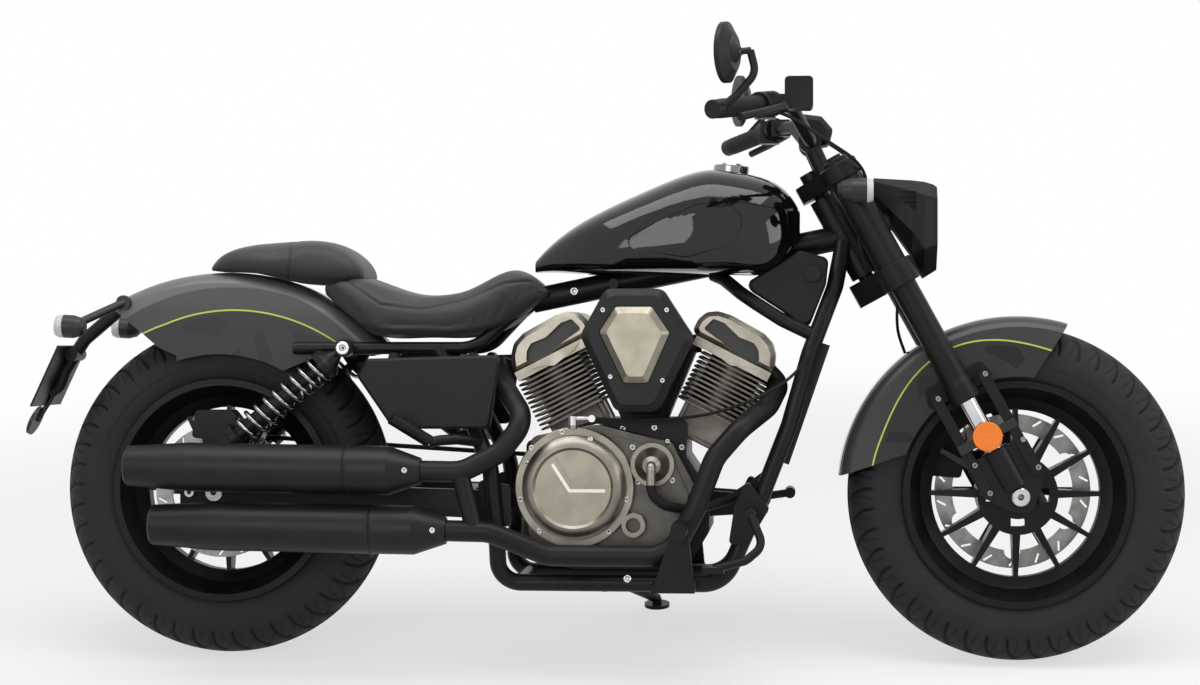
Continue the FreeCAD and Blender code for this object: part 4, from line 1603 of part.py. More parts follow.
# Neck plates each side of the steering head, with the coolant cap on the right
NECK_IN = 66.0
NECK_OUT = 80.0
NECK_REAR = 1009.0
NECK_BASE = 632.0
NECK_LENGTH = 170.0
NECK_HEIGHT = 152.0
NECK_BEVEL = 4.0
NECK_BEND = 14.0
NECK_SHARES = [(0.0, 0.566), (0.30, 0.763), (0.647, 1.0), (0.97, 0.90), (0.94, 0.58), (0.735, 0.0),
               (0.418, 0.263)]
NECK_CAP_X = 1144.0
NECK_CAP_Z = 740.0
NECK_CAP_RADIUS = 15.0
NECK_CAP_OUT = 94.0
neck = bevelled_plate(outlined(NECK_SHARES, NECK_REAR, NECK_BASE, NECK_LENGTH, NECK_HEIGHT), NECK_IN,
                      NECK_OUT, NECK_BEND, NECK_BEVEL)
neck_cap = cross_rod(NECK_CAP_X, NECK_CAP_Z, -NECK_OUT - SEAT_GAP, -NECK_CAP_OUT, NECK_CAP_RADIUS)
neck_room = [frame_solid, nodes["fuel_tank"]]
nodes["neck_covers"] = Part.makeCompound([cut(neck, neck_room), cut(mirrored(neck), neck_room), neck_cap])

# Rear lights, number plate and its arm, tail reflector
REAR_LAMP_X = -264.0
REAR_LAMP_Z = 639.0
REAR_LAMP_Y = 190.0
REAR_LAMP_HALF = 28.0
REAR_LAMP_RADIUS = 22.0
REAR_LAMP_DROOP = 3.0
LAMP_BASE_X = -186.0
LAMP_BASE_Z = 686.0
LAMP_STEM_RADIUS = 8.0
LAMP_BASE_RADIUS = 14.0
LAMP_BASE_THICK = 12.0
PLATE_TOP_X = -322.0
PLATE_TOP_Z = 603.0
PLATE_RAKE = 25.0
PLATE_HEIGHT = 130.0
PLATE_HALF = 92.0
PLATE_THICK = 4.0
PLATE_LAMP_RADIUS = 13.0
PLATE_LAMP_HALF = 30.0
PLATE_ARM_RADIUS = 13.0
PLATE_ARM_BEND = 40.0
PLATE_ARM_LENGTH = 165.0
PLATE_ARM_SHARES = [(0.0, 0, 0.0), (-0.24, 0, -0.20), (-0.55, 0, -0.46), (-0.80, 0, -0.84),
                    (-0.86, 0, -1.02), (-0.98, 0, -1.10)]
TAIL_DROP = 36.0
TAIL_RADIUS = 30.0
TAIL_THICK = 7.0
TAIL_STEM_RADIUS = 5.0


def bullet(rear, way, half, radius):
    """A bullet lamp with a domed end where it faces."""
    return spun([(0, 0), (0, radius / 2), (half / 4, radius * 0.8), (half * 0.8, radius),
                 (half * 1.75, radius),
                 (half * 2, radius * 0.86), (half * 2, 0)], rear, way)


def rear_indicator(side):
    centre = vec(REAR_LAMP_X, side * REAR_LAMP_Y, REAR_LAMP_Z)
    way = vec(-math.cos(math.radians(REAR_LAMP_DROOP)), 0, math.sin(math.radians(REAR_LAMP_DROOP)))
    lamp = bullet(centre - way * REAR_LAMP_HALF, way, REAR_LAMP_HALF, REAR_LAMP_RADIUS)
    fender_side = side * (REAR_FENDER_HALF + SEAT_GAP)
    base = rod(vec(LAMP_BASE_X, fender_side, LAMP_BASE_Z),
               vec(LAMP_BASE_X, fender_side + side * LAMP_BASE_THICK, LAMP_BASE_Z), LAMP_BASE_RADIUS)
    stem = rod(centre, vec(LAMP_BASE_X, fender_side + side * LAMP_BASE_THICK / 2, LAMP_BASE_Z),
               LAMP_STEM_RADIUS)
    return fuse([lamp, stem, base]).cut(nodes["rear_fender"])


nodes["rear_indicators"] = Part.makeCompound([rear_indicator(1), rear_indicator(-1)])
plate_top = vec(PLATE_TOP_X, 0, PLATE_TOP_Z)
plate_down = vec(-math.sin(math.radians(PLATE_RAKE)), 0, -math.cos(math.radians(PLATE_RAKE)))
plate_back = vec(-plate_down.z, 0, plate_down.x) * -1
plate_foot = plate_top + plate_down * PLATE_HEIGHT
plate_faces = [plate_top, plate_foot, plate_foot - plate_back * PLATE_THICK, plate_top
               - plate_back * PLATE_THICK]
plate_board = side_plate([(point.x, point.z) for point in plate_faces], -PLATE_HALF, PLATE_HALF)
arm_start = polar(REAR_AXLE, REAR_FENDER_RADIUS - FENDER_WALL, REAR_FENDER_TO - FENDER_WALL)
plate_arm = pipe(from_shares(arm_start, PLATE_ARM_SHARES, PLATE_ARM_LENGTH), PLATE_ARM_RADIUS, PLATE_ARM_BEND)
plate_lamp_at = plate_top + plate_down * PLATE_LAMP_RADIUS - plate_back * (PLATE_LAMP_RADIUS
        + PLATE_THICK / 2)
plate_lamp = cross_rod(plate_lamp_at.x, plate_lamp_at.z, -PLATE_LAMP_HALF, PLATE_LAMP_HALF, PLATE_LAMP_RADIUS)
nodes["plate_bracket"] = cut(fuse([plate_arm, plate_board, plate_lamp]), [nodes["rear_fender"]])
tail_centre = plate_foot + plate_down * TAIL_DROP
tail_disc = rod(tail_centre, tail_centre + plate_back * TAIL_THICK, TAIL_RADIUS)
tail_stem = rod(plate_foot - plate_down * TAIL_RADIUS - plate_back * (PLATE_THICK + TAIL_STEM_RADIUS),
                tail_centre, TAIL_STEM_RADIUS)
nodes["tail_reflector"] = fuse([tail_disc, tail_stem]).cut(nodes["plate_bracket"])

# Foot controls: rider pegs on their brackets, brake pedal on the right, gear lever on the left
PEG_X = 900.0
PEG_Z = 264.0
PEG_RADIUS = 15.0
PEG_PIN_RADIUS = 9.0
PEG_BOSS_RADIUS = 18.0
PEG_IN = 244.0
PEG_OUT = 320.0
SHELF_REAR = 846.0
SHELF_LENGTH = 80.0
SHELF_THICK = 14.0
SHELF_OUT = 240.0
SHELF_RISER = 12.0
PIVOT_ARM_X = 1028.0
PIVOT_ARM_Z = 290.0
PIVOT_ARM_RADIUS = 10.0
PIVOT_ARM_OUT = 200.0
BRACKET_REAR = 985.0
BRACKET_BASE = 228.0
BRACKET_LENGTH = 77.0
BRACKET_HEIGHT = 122.0
BRACKET_OUT = 130.0
BRACKET_THICK = 20.0
BRACKET_SHARES = [(0.0, 0.0), (0.48, 0.0), (1.0, 0.557), (0.455, 1.0), (0.143, 0.59)]
LEVER_REACH = 100.0
LEVER_RADIUS = 8.0
LEVER_BEND = 26.0
BRAKE_SHARES = [(0.0, 0.05, 0.0), (0.24, -0.05, -0.58), (-0.08, -0.15, -0.85), (-0.68, -0.25, -1.0)]
GEAR_SHARES = [(0.0, -0.05, 0.0), (0.32, 0.05, 0.10), (0.70, 0.15, 0.15)]
PAD_HALF = 20.0
PAD_WIDTH = 62.0
PAD_THICK = 12.0
TOE_RADIUS = 11.0
TOE_LENGTH = 57.0
PASSENGER_PEG_X = 428.0
PASSENGER_PEG_Y = 180.0
PASSENGER_PEG_Z = 420.0
PASSENGER_PEG_RADIUS = 12.0
PASSENGER_PEG_PIN = 10.0
PASSENGER_PEG_REACH = 84.0
PASSENGER_PEG_SHARES = [(-0.05, 0.04, 0.03), (-0.85, 0.38, 0.56)]
PEG_ARM_SHARES = [(1.02, -0.46, 0.0), (0.55, -0.17, 0.07), (0.18, -0.02, 0.05), (-0.06, 0.0, 0.0)]


def rider_peg():
    """A peg on a bracket that passes below the exhaust and comes up outside it."""
    low = CRADLE_Z - PEG_PIN_RADIUS + SEAT_GAP * 10
    shelf = block(vec(SHELF_REAR, CRADLE_Y, low),
                  vec(SHELF_REAR + SHELF_LENGTH, SHELF_OUT, low + SHELF_THICK))
    riser = side_plate([(SHELF_REAR, low), (SHELF_REAR + SHELF_LENGTH, low), (PEG_X + SHELF_THICK, PEG_Z),
                        (PEG_X - SHELF_THICK, PEG_Z)],
                       SHELF_OUT - SHELF_RISER, SHELF_OUT)
    boss = cross_rod(PEG_X, PEG_Z, SHELF_OUT - SHELF_RISER, SHELF_OUT, PEG_BOSS_RADIUS)
    pin = cross_rod(PEG_X, PEG_Z, SHELF_OUT - SHELF_RISER, PEG_OUT, PEG_PIN_RADIUS)
    return fuse([cross_rod(PEG_X, PEG_Z, PEG_IN, PEG_OUT, PEG_RADIUS), shelf, riser, boss, pin])


def passenger_peg():
    """A peg folded back along its arm."""
    hinge = vec(PASSENGER_PEG_X, PASSENGER_PEG_Y, PASSENGER_PEG_Z)
    start, end = from_shares(hinge, PASSENGER_PEG_SHARES, PASSENGER_PEG_REACH)
    arm = pipe(from_shares(hinge, PEG_ARM_SHARES, PASSENGER_PEG_REACH), PASSENGER_PEG_PIN, LEVER_BEND)
    return fuse([arm, rod(start, end, PASSENGER_PEG_RADIUS)])


forward_bracket = side_plate(outlined(BRACKET_SHARES, BRACKET_REAR, BRACKET_BASE, BRACKET_LENGTH,
                                      BRACKET_HEIGHT),
                             BRACKET_OUT - BRACKET_THICK, BRACKET_OUT, LEVER_RADIUS)
right_arm = vec(PIVOT_ARM_X, -PIVOT_ARM_OUT, PIVOT_ARM_Z)
left_arm = vec(PIVOT_ARM_X, PIVOT_ARM_OUT, PIVOT_ARM_Z)
brake_route = from_shares(right_arm, BRAKE_SHARES, LEVER_REACH)
gear_route = from_shares(left_arm, GEAR_SHARES, LEVER_REACH)
pad_at, toe_at = brake_route[-1], gear_route[-1]
nodes["rider_pegs"] = pair(rider_peg()).cut(frame_solid)
nodes["passenger_pegs"] = pair(passenger_peg()).cut(frame_solid)
nodes["brake_pedal"] = fuse([
    cross_rod(PIVOT_ARM_X, PIVOT_ARM_Z, -PIVOT_ARM_OUT, -BRACKET_OUT - SEAT_GAP,
              PIVOT_ARM_RADIUS), pipe(brake_route, LEVER_RADIUS, LEVER_BEND),
    block(pad_at - vec(PAD_HALF, PAD_WIDTH / 2, PAD_THICK / 2), pad_at
          + vec(PAD_HALF, PAD_WIDTH / 2, PAD_THICK / 2))])
nodes["gear_lever"] = fuse([
    cross_rod(PIVOT_ARM_X, PIVOT_ARM_Z, BRACKET_OUT + SEAT_GAP, PIVOT_ARM_OUT,
              PIVOT_ARM_RADIUS), pipe(gear_route, LEVER_RADIUS, LEVER_BEND),
    cross_rod(toe_at.x, toe_at.z, toe_at.y - TOE_RADIUS, toe_at.y + TOE_LENGTH, TOE_RADIUS)])

# Brake calipers over their discs
CALIPER_ROOM = 6.0
CALIPER_SLOT = 1.2
CALIPER_BEND = 8.0
FRONT_CALIPER_IN = 48.0
FRONT_CALIPER_OUT = 83.0
REAR_CALIPER_IN = 58.0
REAR_CALIPER_OUT = 106.0
FRONT_CALIPER_SHARES = [(-1.10, 0.20), (-0.973, 0.667), (-0.773, 0.853), (-0.573, 0.613), (-0.667, 0.167)]
REAR_CALIPER_SHARES = [(-0.40, 0.792), (-0.338, 1.2), (0.2, 1.2), (0.446, 0.908), (0.338, 0.692),
                       (0.0, 0.754)]
HANGER_SHARES = [(-0.154, 0.062), (0.154, 0.062), (0.231, 0.792), (-0.231, 0.792)]
HANGER_OUT = 110.0
HANGER_IN = 101.0
CALIPER_ARM_RADIUS = 9.0
CALIPER_ARM_S = 78.0
CALIPER_ARM_BACK = 22.0
CALIPER_ARM_SHARES = (-0.747, 0.60)
front_caliper = side_plate(outlined(FRONT_CALIPER_SHARES, FRONT_AXLE.x, FRONT_AXLE.z, FRONT_DISC_RADIUS,
                                    FRONT_DISC_RADIUS),
                           FRONT_CALIPER_IN, FRONT_CALIPER_OUT, CALIPER_BEND)
front_slot = cross_rod(FRONT_AXLE.x, FRONT_AXLE.z, FRONT_HUB_HALF - CALIPER_SLOT, FRONT_STOP_LEFT
                       + CALIPER_SLOT, FRONT_DISC_RADIUS + CALIPER_ROOM)
caliper_arm = rod(vec(FRONT_AXLE.x + CALIPER_ARM_SHARES[0] * FRONT_DISC_RADIUS, FRONT_CALIPER_OUT
                      - CALIPER_ARM_RADIUS,
                      FRONT_AXLE.z + CALIPER_ARM_SHARES[1] * FRONT_DISC_RADIUS),
                  fork_point(CALIPER_ARM_S, -CALIPER_ARM_BACK, FORK_HALF - CALIPER_ROOM), CALIPER_ARM_RADIUS)
nodes["front_caliper"] = cut(fuse([front_caliper, caliper_arm]), [front_slot, nodes["fork_castings"]])
rear_caliper = side_plate(outlined(REAR_CALIPER_SHARES, REAR_AXLE.x, REAR_AXLE.z, REAR_DISC_RADIUS,
                                   REAR_DISC_RADIUS),
                          -REAR_CALIPER_OUT, -REAR_CALIPER_IN, CALIPER_BEND)
rear_slot = cross_rod(REAR_AXLE.x, REAR_AXLE.z, -REAR_STOP_RIGHT - CALIPER_SLOT, -REAR_HUB_HALF
                      + CALIPER_SLOT, REAR_DISC_RADIUS + CALIPER_ROOM)
rear_hanger = side_plate(outlined(HANGER_SHARES, REAR_AXLE.x, REAR_AXLE.z, REAR_DISC_RADIUS,
                                  REAR_DISC_RADIUS), -HANGER_OUT, -HANGER_IN)
hanger_eye = cross_rod(REAR_AXLE.x, REAR_AXLE.z, -HANGER_OUT, -HANGER_IN, AXLE_RADIUS * 3)
nodes["rear_caliper"] = cut(fuse([rear_caliper.cut(rear_slot), rear_hanger, hanger_eye]), [
    cross_rod(REAR_AXLE.x, REAR_AXLE.z, -HANGER_OUT - OVERRUN, -HANGER_IN + OVERRUN, AXLE_HEAD_RADIUS)])

# Side stand, folding rearward about an inclined pin in a fork on the left cradle tube
STAND_X = 720.0
STAND_Y = 166.0
STAND_Z = 140.0
STAND_FOOT_X = 822.0
STAND_FOOT_Y = 322.0
STAND_RADIUS = 10.0
STAND_PAD = 26.0
STAND_PAD_THICK = 7.0
STAND_EYE_RADIUS = 17.0
STAND_EYE_HALF = 12.0
STAND_PIN_RADIUS = 8.0
STAND_PIN_GAP = 0.5
STAND_CHEEK_IN = 17.0
STAND_CHEEK_OUT = 31.0
STAND_CHEEK = 25.0
STAND_ARM_RADIUS = 7.0
STAND_ARM_BACK = 8.0
STAND_ARM_RISE = 23.0
STAND_ARM_DROP = 8.0
STAND_UP_WAY = (-0.97, 0.24, 0.12)
STAND_PIVOT = vec(STAND_X, STAND_Y, STAND_Z)
lean = math.radians(PARKED_LEAN)
UPRIGHT_OF_FLOOR = vec(0, -math.sin(lean), math.cos(lean))


def crown_radius(radius, half):
    """Radius of the tyre's tread across the machine, from its shoulders and crown."""
    chord = half * TYRE_SHOULDER_SHARE
    drop = (radius - RIM_SEAT_RADIUS) * TYRE_SHOULDER_DROP_SHARE
    return (chord * chord + drop * drop) / (2 * drop)


floor_height = crown_radius(REAR_TYRE_RADIUS, REAR_TYRE_HALF) * (math.cos(lean) - 1)
foot_z = (floor_height + STAND_FOOT_Y * math.sin(lean)) / math.cos(lean)
foot_floor = vec(STAND_FOOT_X, STAND_FOOT_Y, foot_z)
foot_top = foot_floor + UPRIGHT_OF_FLOOR * STAND_PAD_THICK
foot_centre = foot_top + UPRIGHT_OF_FLOOR * STAND_RADIUS
stand_down = foot_centre - STAND_PIVOT
stand_up = vec(*STAND_UP_WAY)
stand_axis = stand_down.cross(stand_up)
stand_axis.normalize()
stand_swing = math.degrees(stand_down.getAngle(stand_up))
stand_leg = fuse([
    rod(STAND_PIVOT, foot_centre, STAND_RADIUS), rod(foot_floor, foot_top, STAND_PAD),
    rod(foot_floor + UPRIGHT_OF_FLOOR * (STAND_PAD_THICK / 2), foot_centre, STAND_RADIUS),
    rod(STAND_PIVOT - stand_axis * STAND_EYE_HALF, STAND_PIVOT + stand_axis * STAND_EYE_HALF,
        STAND_EYE_RADIUS)])
nodes["side_stand"] = stand_leg.cut(rod(STAND_PIVOT - stand_axis * OVERRUN, STAND_PIVOT
                                        + stand_axis * OVERRUN,
                                        STAND_PIN_RADIUS + STAND_PIN_GAP))
stand_fork = [rod(STAND_PIVOT - stand_axis * STAND_CHEEK_OUT, STAND_PIVOT + stand_axis * STAND_CHEEK_OUT,
                  STAND_PIN_RADIUS)]
for side, rise in ((1, STAND_ARM_RISE), (-1, -STAND_ARM_DROP)):
    stand_fork.append(rod(STAND_PIVOT + stand_axis * (side * STAND_CHEEK_IN), STAND_PIVOT
                          + stand_axis * (side * STAND_CHEEK_OUT), STAND_EYE_RADIUS))
    stand_fork.append(rod(STAND_PIVOT + stand_axis * (side * STAND_CHEEK),
                          vec(STAND_X - STAND_ARM_BACK, CRADLE_Y, STAND_Z + rise),
                          STAND_ARM_RADIUS))
nodes["frame"] = fuse([frame_solid, forward_bracket, mirrored(forward_bracket)] + stand_fork)

# Handlebar on its risers
BAR_RADIUS = 12.7
BAR_CLAMP_S = 778.0
BAR_CLAMP_BACK = 21.0
BAR_BACK = 157.0
BAR_HALF = 403.0
BAR_RISE = 52.0
BAR_BEND = 70.0
BAR_SHARES = [(0.0, 0.0, 0.0), (0.0, 0.23, 0.0), (0.217, 0.486, 1.0), (0.548, 0.725, 0.923),
              (1.0, 1.0, 0.596)]
GRIP_RADIUS = 17.5
GRIP_LENGTH = 118.0
GRIP_END = 6.0
RISER_Y = 42.0
RISER_RADIUS = 16.0
RISER_CLAMP_WALL = 9.0
RISER_CLAMP_HALF = 14.0
RISER_BACK = 26.0
bar_clamp = fork_point(BAR_CLAMP_S, -BAR_CLAMP_BACK, 0)
bar_points = [bar_clamp + vec(-back * BAR_BACK, out * BAR_HALF, rise * BAR_RISE) for back, out,
              rise in BAR_SHARES]
left_bar = pipe(bar_points, BAR_RADIUS, BAR_BEND)
nodes["handlebar"] = left_bar.fuse(mirrored(left_bar))
bar_room = pipe(bar_points, BAR_RADIUS + SEAT_GAP, BAR_BEND)
bar_end = bar_points[-1]
grip_way = bar_end - bar_points[-2]
grip_way.normalize()
grip = rod(bar_end - grip_way * GRIP_LENGTH, bar_end + grip_way * GRIP_END, GRIP_RADIUS)
nodes["grips"] = pair(grip.cut(rod(bar_end - grip_way * (GRIP_LENGTH + OVERRUN), bar_end
                                   + grip_way * SEAT_GAP, BAR_RADIUS + SEAT_GAP)))
riser = fuse([
    rod(fork_point(UPPER_YOKE_HIGH, -RISER_BACK, RISER_Y), bar_clamp + ACROSS * RISER_Y, RISER_RADIUS),
    rod(bar_clamp + ACROSS * (RISER_Y - RISER_CLAMP_HALF), bar_clamp
        + ACROSS * (RISER_Y + RISER_CLAMP_HALF), BAR_RADIUS + RISER_CLAMP_WALL)])
clamp_bore = rod(bar_clamp - ACROSS * OVERRUN, bar_clamp + ACROSS * (RISER_Y + OVERRUN), BAR_RADIUS
                 + SEAT_GAP)
below_yoke_top = on_fork(block(vec(-2 * FORK_HALF, -2 * FORK_HALF, 0),
                               vec(2 * FORK_HALF, 2 * FORK_HALF, UPPER_YOKE_HIGH + SEAT_GAP)))
nodes["bar_risers"] = pair(riser.cut(clamp_bore)).cut(below_yoke_top)

# Bar controls: switch housings, levers and the front brake's reservoir
SWITCH_RADIUS = 24.0
SWITCH_LENGTH = 46.0
SWITCH_DROP = 26.0
SWITCH_AHEAD = 18.0
SWITCH_HALF = 20.0
LEVER_ROD_RADIUS = 7.0
LEVER_ROD_BEND = 24.0
PERCH_LENGTH = 38.0
PERCH_WIDTH = 34.0
PERCH_HEIGHT = 34.0
PERCH_SHARES = (0.196, -0.414, 0.012)
BAR_LEVER_SHARES = [(0.25, -0.35, 0.05), (0.285, -0.256, 0.035), (0.175, -0.077, -0.01),
                    (0.085, 0.042, -0.042)]
RESERVOIR_LENGTH = 52.0
RESERVOIR_WIDTH = 50.0
RESERVOIR_HEIGHT = 60.0
RESERVOIR_BEND = 8.0
RESERVOIR_SHARES = (0.275, -0.471, 0.03)
switch_end = bar_end - grip_way * (GRIP_LENGTH + EDGE_BREAK)
switch_start = switch_end - grip_way * SWITCH_LENGTH
switch_middle = (switch_start + switch_end) * 0.5
switch = fuse([rod(switch_start, switch_end, SWITCH_RADIUS),
               block(switch_middle - vec(SWITCH_HALF, SWITCH_HALF, SWITCH_DROP), switch_middle
                     + vec(SWITCH_AHEAD, SWITCH_HALF, SWITCH_HALF))])
switch = cut(switch, [bar_room, grip])
perch_low = bar_end + vec(*PERCH_SHARES) * BAR_HALF
perch = block(perch_low, perch_low + vec(PERCH_LENGTH, PERCH_WIDTH, PERCH_HEIGHT))
bar_lever = fuse([perch, pipe(from_shares(bar_end, BAR_LEVER_SHARES, BAR_HALF), LEVER_ROD_RADIUS,
                              LEVER_ROD_BEND)])
nodes["switchgear"] = pair(switch)
nodes["levers"] = pair(cut(bar_lever, [bar_room, switch]))
reservoir_low = bar_end + vec(*RESERVOIR_SHARES) * BAR_HALF
reservoir_sides = [(reservoir_low.x, reservoir_low.z), (reservoir_low.x + RESERVOIR_LENGTH, reservoir_low.z),
                   (reservoir_low.x + RESERVOIR_LENGTH, reservoir_low.z
                    + RESERVOIR_HEIGHT), (reservoir_low.x, reservoir_low.z + RESERVOIR_HEIGHT)]
reservoir = side_plate(reservoir_sides, reservoir_low.y, reservoir_low.y + RESERVOIR_WIDTH, RESERVOIR_BEND)
nodes["brake_reservoir"] = cut(mirrored(reservoir),
                               [nodes["levers"], mirrored(bar_room), nodes["switchgear"]])

# Bar-end mirrors: an arm from each bar end up to a round dish that faces back
MIRROR_RADIUS = 54.0
MIRROR_RIM = 9.0
MIRROR_DEPTH = 22.0
MIRROR_DOME_RADIUS = 20.0
MIRROR_TURN = 17.0
MIRROR_CLAMP = 22.0
MIRROR_CLAMP_RADIUS = 17.0
MIRROR_ARM_RADIUS = 7.0
MIRROR_ARM_BEND = 30.0
MIRROR_PIN_RADIUS = 6.0
MIRROR_REACH = 100.0
MIRROR_ARM_SHARES = [(0.0, 0.115, 0.0), (0.28, 0.16, 0.22), (0.62, 0.18, 0.60), (0.52, 0.20, 1.0)]
MIRROR_SHARES = (0.05, 0.25, 0.96)
mirror_arm = pipe(from_shares(bar_end, MIRROR_ARM_SHARES, MIRROR_REACH), MIRROR_ARM_RADIUS, MIRROR_ARM_BEND)
mirror_clamp = rod(bar_end + grip_way * (GRIP_END + SEAT_GAP), bar_end
                   + grip_way * (GRIP_END + MIRROR_CLAMP), MIRROR_CLAMP_RADIUS)
mirror_centre = bar_end + vec(*MIRROR_SHARES) * MIRROR_REACH
mirror_way = vec(math.cos(math.radians(MIRROR_TURN)), math.sin(math.radians(MIRROR_TURN)), 0)
mirror_dish = spun([(0, 0), (0, MIRROR_RADIUS), (MIRROR_RIM, MIRROR_RADIUS),
                    (MIRROR_DEPTH, MIRROR_DOME_RADIUS * 1.6),
                    (MIRROR_DEPTH, MIRROR_DOME_RADIUS), (MIRROR_DEPTH + MIRROR_RIM,
                                                         MIRROR_DOME_RADIUS / 2), (MIRROR_DEPTH
                                                                 + MIRROR_RIM, 0)],
                   mirror_centre, mirror_way)
mirror_pin = rod(mirror_centre + mirror_way * MIRROR_DEPTH,
                 from_shares(bar_end, MIRROR_ARM_SHARES, MIRROR_REACH)[-1], MIRROR_PIN_RADIUS)
mirror = fuse([mirror_arm, mirror_clamp, mirror_dish, mirror_pin]).cut(grip)
nodes["mirrors"] = pair(mirror)

# Instrument pod ahead of the bar clamp
POD_REAR = 1104.0
POD_BASE = 966.0
POD_LENGTH = 78.0
POD_HEIGHT = 82.0
POD_HALF = 44.0
POD_BEVEL = 9.0
POD_BEND = 9.0
POD_SHARES = [(0.12, 0.66), (0.0, 0.90), (0.16, 1.0), (0.72, 0.93), (1.0, 0.62), (0.90, 0.28), (0.55, 0.22)]
POD_FOOT_HALF = 16.0
pod_outline = outlined(POD_SHARES, POD_REAR, POD_BASE, POD_LENGTH, POD_HEIGHT)
pod = fuse([bevelled_plate(pod_outline, 0, side * POD_HALF, POD_BEND, POD_BEVEL) for side in (1, -1)])
pod_foot = block(bar_clamp - vec(POD_FOOT_HALF, POD_FOOT_HALF, 0), bar_clamp
                 + vec(POD_FOOT_HALF, POD_FOOT_HALF, POD_FOOT_HALF * 2))
nodes["instrument"] = cut(pod.fuse(pod_foot), [
    nodes["bar_risers"], rod(bar_clamp - ACROSS * (POD_HALF + OVERRUN), bar_clamp
                             + ACROSS * (POD_HALF + OVERRUN), BAR_RADIUS + SEAT_GAP)])

# Front indicators on the fork legs
FRONT_LAMP_X = 1189.0
FRONT_LAMP_Z = 891.0
FRONT_LAMP_Y = 178.0
FRONT_LAMP_HALF = 33.0
FRONT_LAMP_RADIUS = 22.5
FRONT_STEM_RADIUS = 7.0
FRONT_STEM_S = 620.0


def front_indicator(side):
    rear = vec(FRONT_LAMP_X, side * FRONT_LAMP_Y, FRONT_LAMP_Z)
    stem = rod(rear + ALONG * FRONT_LAMP_HALF, fork_point(FRONT_STEM_S, 0, side * FORK_HALF),
               FRONT_STEM_RADIUS)
    return fuse([bullet(rear, ALONG, FRONT_LAMP_HALF, FRONT_LAMP_RADIUS), stem]).cut(
        on_fork(leg_axis(side * FORK_HALF, LOWER_YOKE_HIGH, UPPER_YOKE_LOW, FORK_COVER_RADIUS + SEAT_GAP)))


nodes["front_indicators"] = Part.makeCompound([front_indicator(1), front_indicator(-1)])

# Cables and hoses that the machine holds all along their way
CABLE_RADIUS = 3.0
CABLE_BEND = 60.0
clutch_start = arm_pin + vec(ARM_LEVER_LENGTH + ARM_LEVER_RADIUS * 1.5 + SEAT_GAP, ARM_LEVER_OUT,
                             -ARM_LEVER_RADIUS)
clutch_route = [clutch_start] + [clutch_start + vec(*way) for way in (
    (48, 1, -3), (102, 2, -3), (156, 3, 0), (208, 4, 7), (262, 5, 22), (312, 8, 43), (360, 14, 71), (397,
            23, 110), (424, 36, 154), (440, 52, 196))]
nodes["clutch_cable"] = pipe(clutch_route, CABLE_RADIUS, CABLE_BEND)
throttle_start = vec(switch_middle.x + SWITCH_AHEAD + SEAT_GAP, -switch_middle.y, switch_middle.z
                     - SWITCH_DROP / 2)
throttle_route = [throttle_start] + [throttle_start + vec(*way) for way in (
    (32, 11, -10), (69, 40, -34), (107, 78, -56), (142, 123, -75), (165, 171, -98), (172, 211, -132), (161,
            233, -170),
    (152, 235, -213), (161, 231, -253), (170, 228, -286))]
upper_start = perch_low + vec(PERCH_LENGTH + SEAT_GAP, PERCH_WIDTH / 2, PERCH_HEIGHT / 2)
upper_route = [upper_start] + [upper_start + vec(*way) for way in (
    (32, -7, -9), (70, -29, -29), (105, -63, -55), (130, -105, -83), (147, -145, -115), (151, -179,
            -150), (140, -201, -189),
    (131, -205, -231), (139, -201, -270), (148, -198, -303))]
nodes["control_cables"] = cut(pipe(throttle_route, CABLE_RADIUS,
                                   CABLE_BEND).fuse(pipe(upper_route, CABLE_RADIUS, CABLE_BEND)),
                              [nodes["switchgear"], nodes["levers"]])
hose_start = fork_point(LOWER_YOKE_LOW - SEAT_GAP, -15, -25)
hose_route = [hose_start] + [hose_start + vec(*way) for way in (
    (6, 5, -22), (5, 35, -52), (9, 70, -84), (22, 96, -117), (34, 109, -149), (46, 111, -189),
    (68, 109, -227), (94, 102, -250), (111, 94, -262))]
nodes["front_brake_hose"] = cut(pipe(hose_route, CABLE_RADIUS, CABLE_BEND),
                                [nodes["front_caliper"], nodes["lower_yoke"]])
for name in ("clutch_cable", "control_cables", "front_brake_hose"):
    print("cord", name, "volume over section", nodes[name].Volume / (math.pi * CABLE_RADIUS ** 2))

# Like pieces on one body share a file


def gather(name, members):
    """Puts several pieces into one node, each as it is."""
    nodes[name] = Part.makeCompound([solid for member in members for solid in nodes.pop(member).Solids])


gather("front_axle", ["front_axle", "front_spacers"])
gather("rear_axle", ["rear_axle", "rear_spacers"])
gather("fork_yokes", ["upper_yoke", "lower_yoke", "bar_risers"])
gather("fork_castings", ["fork_castings", "fender_struts"])
gather("crankcase", ["crankcase", "front_pulley"])
gather("left_engine_covers", ["left_engine_cover", "pulley_guard"])
gather("right_engine_covers", ["right_engine_cover", "clutch_arm", "air_panel"])
gather("side_covers", ["side_covers", "neck_covers"])
gather("foot_pegs", ["rider_pegs", "passenger_pegs"])
gather("foot_levers", ["brake_pedal", "gear_lever"])
gather("bar_controls", ["switchgear", "levers", "brake_reservoir"])

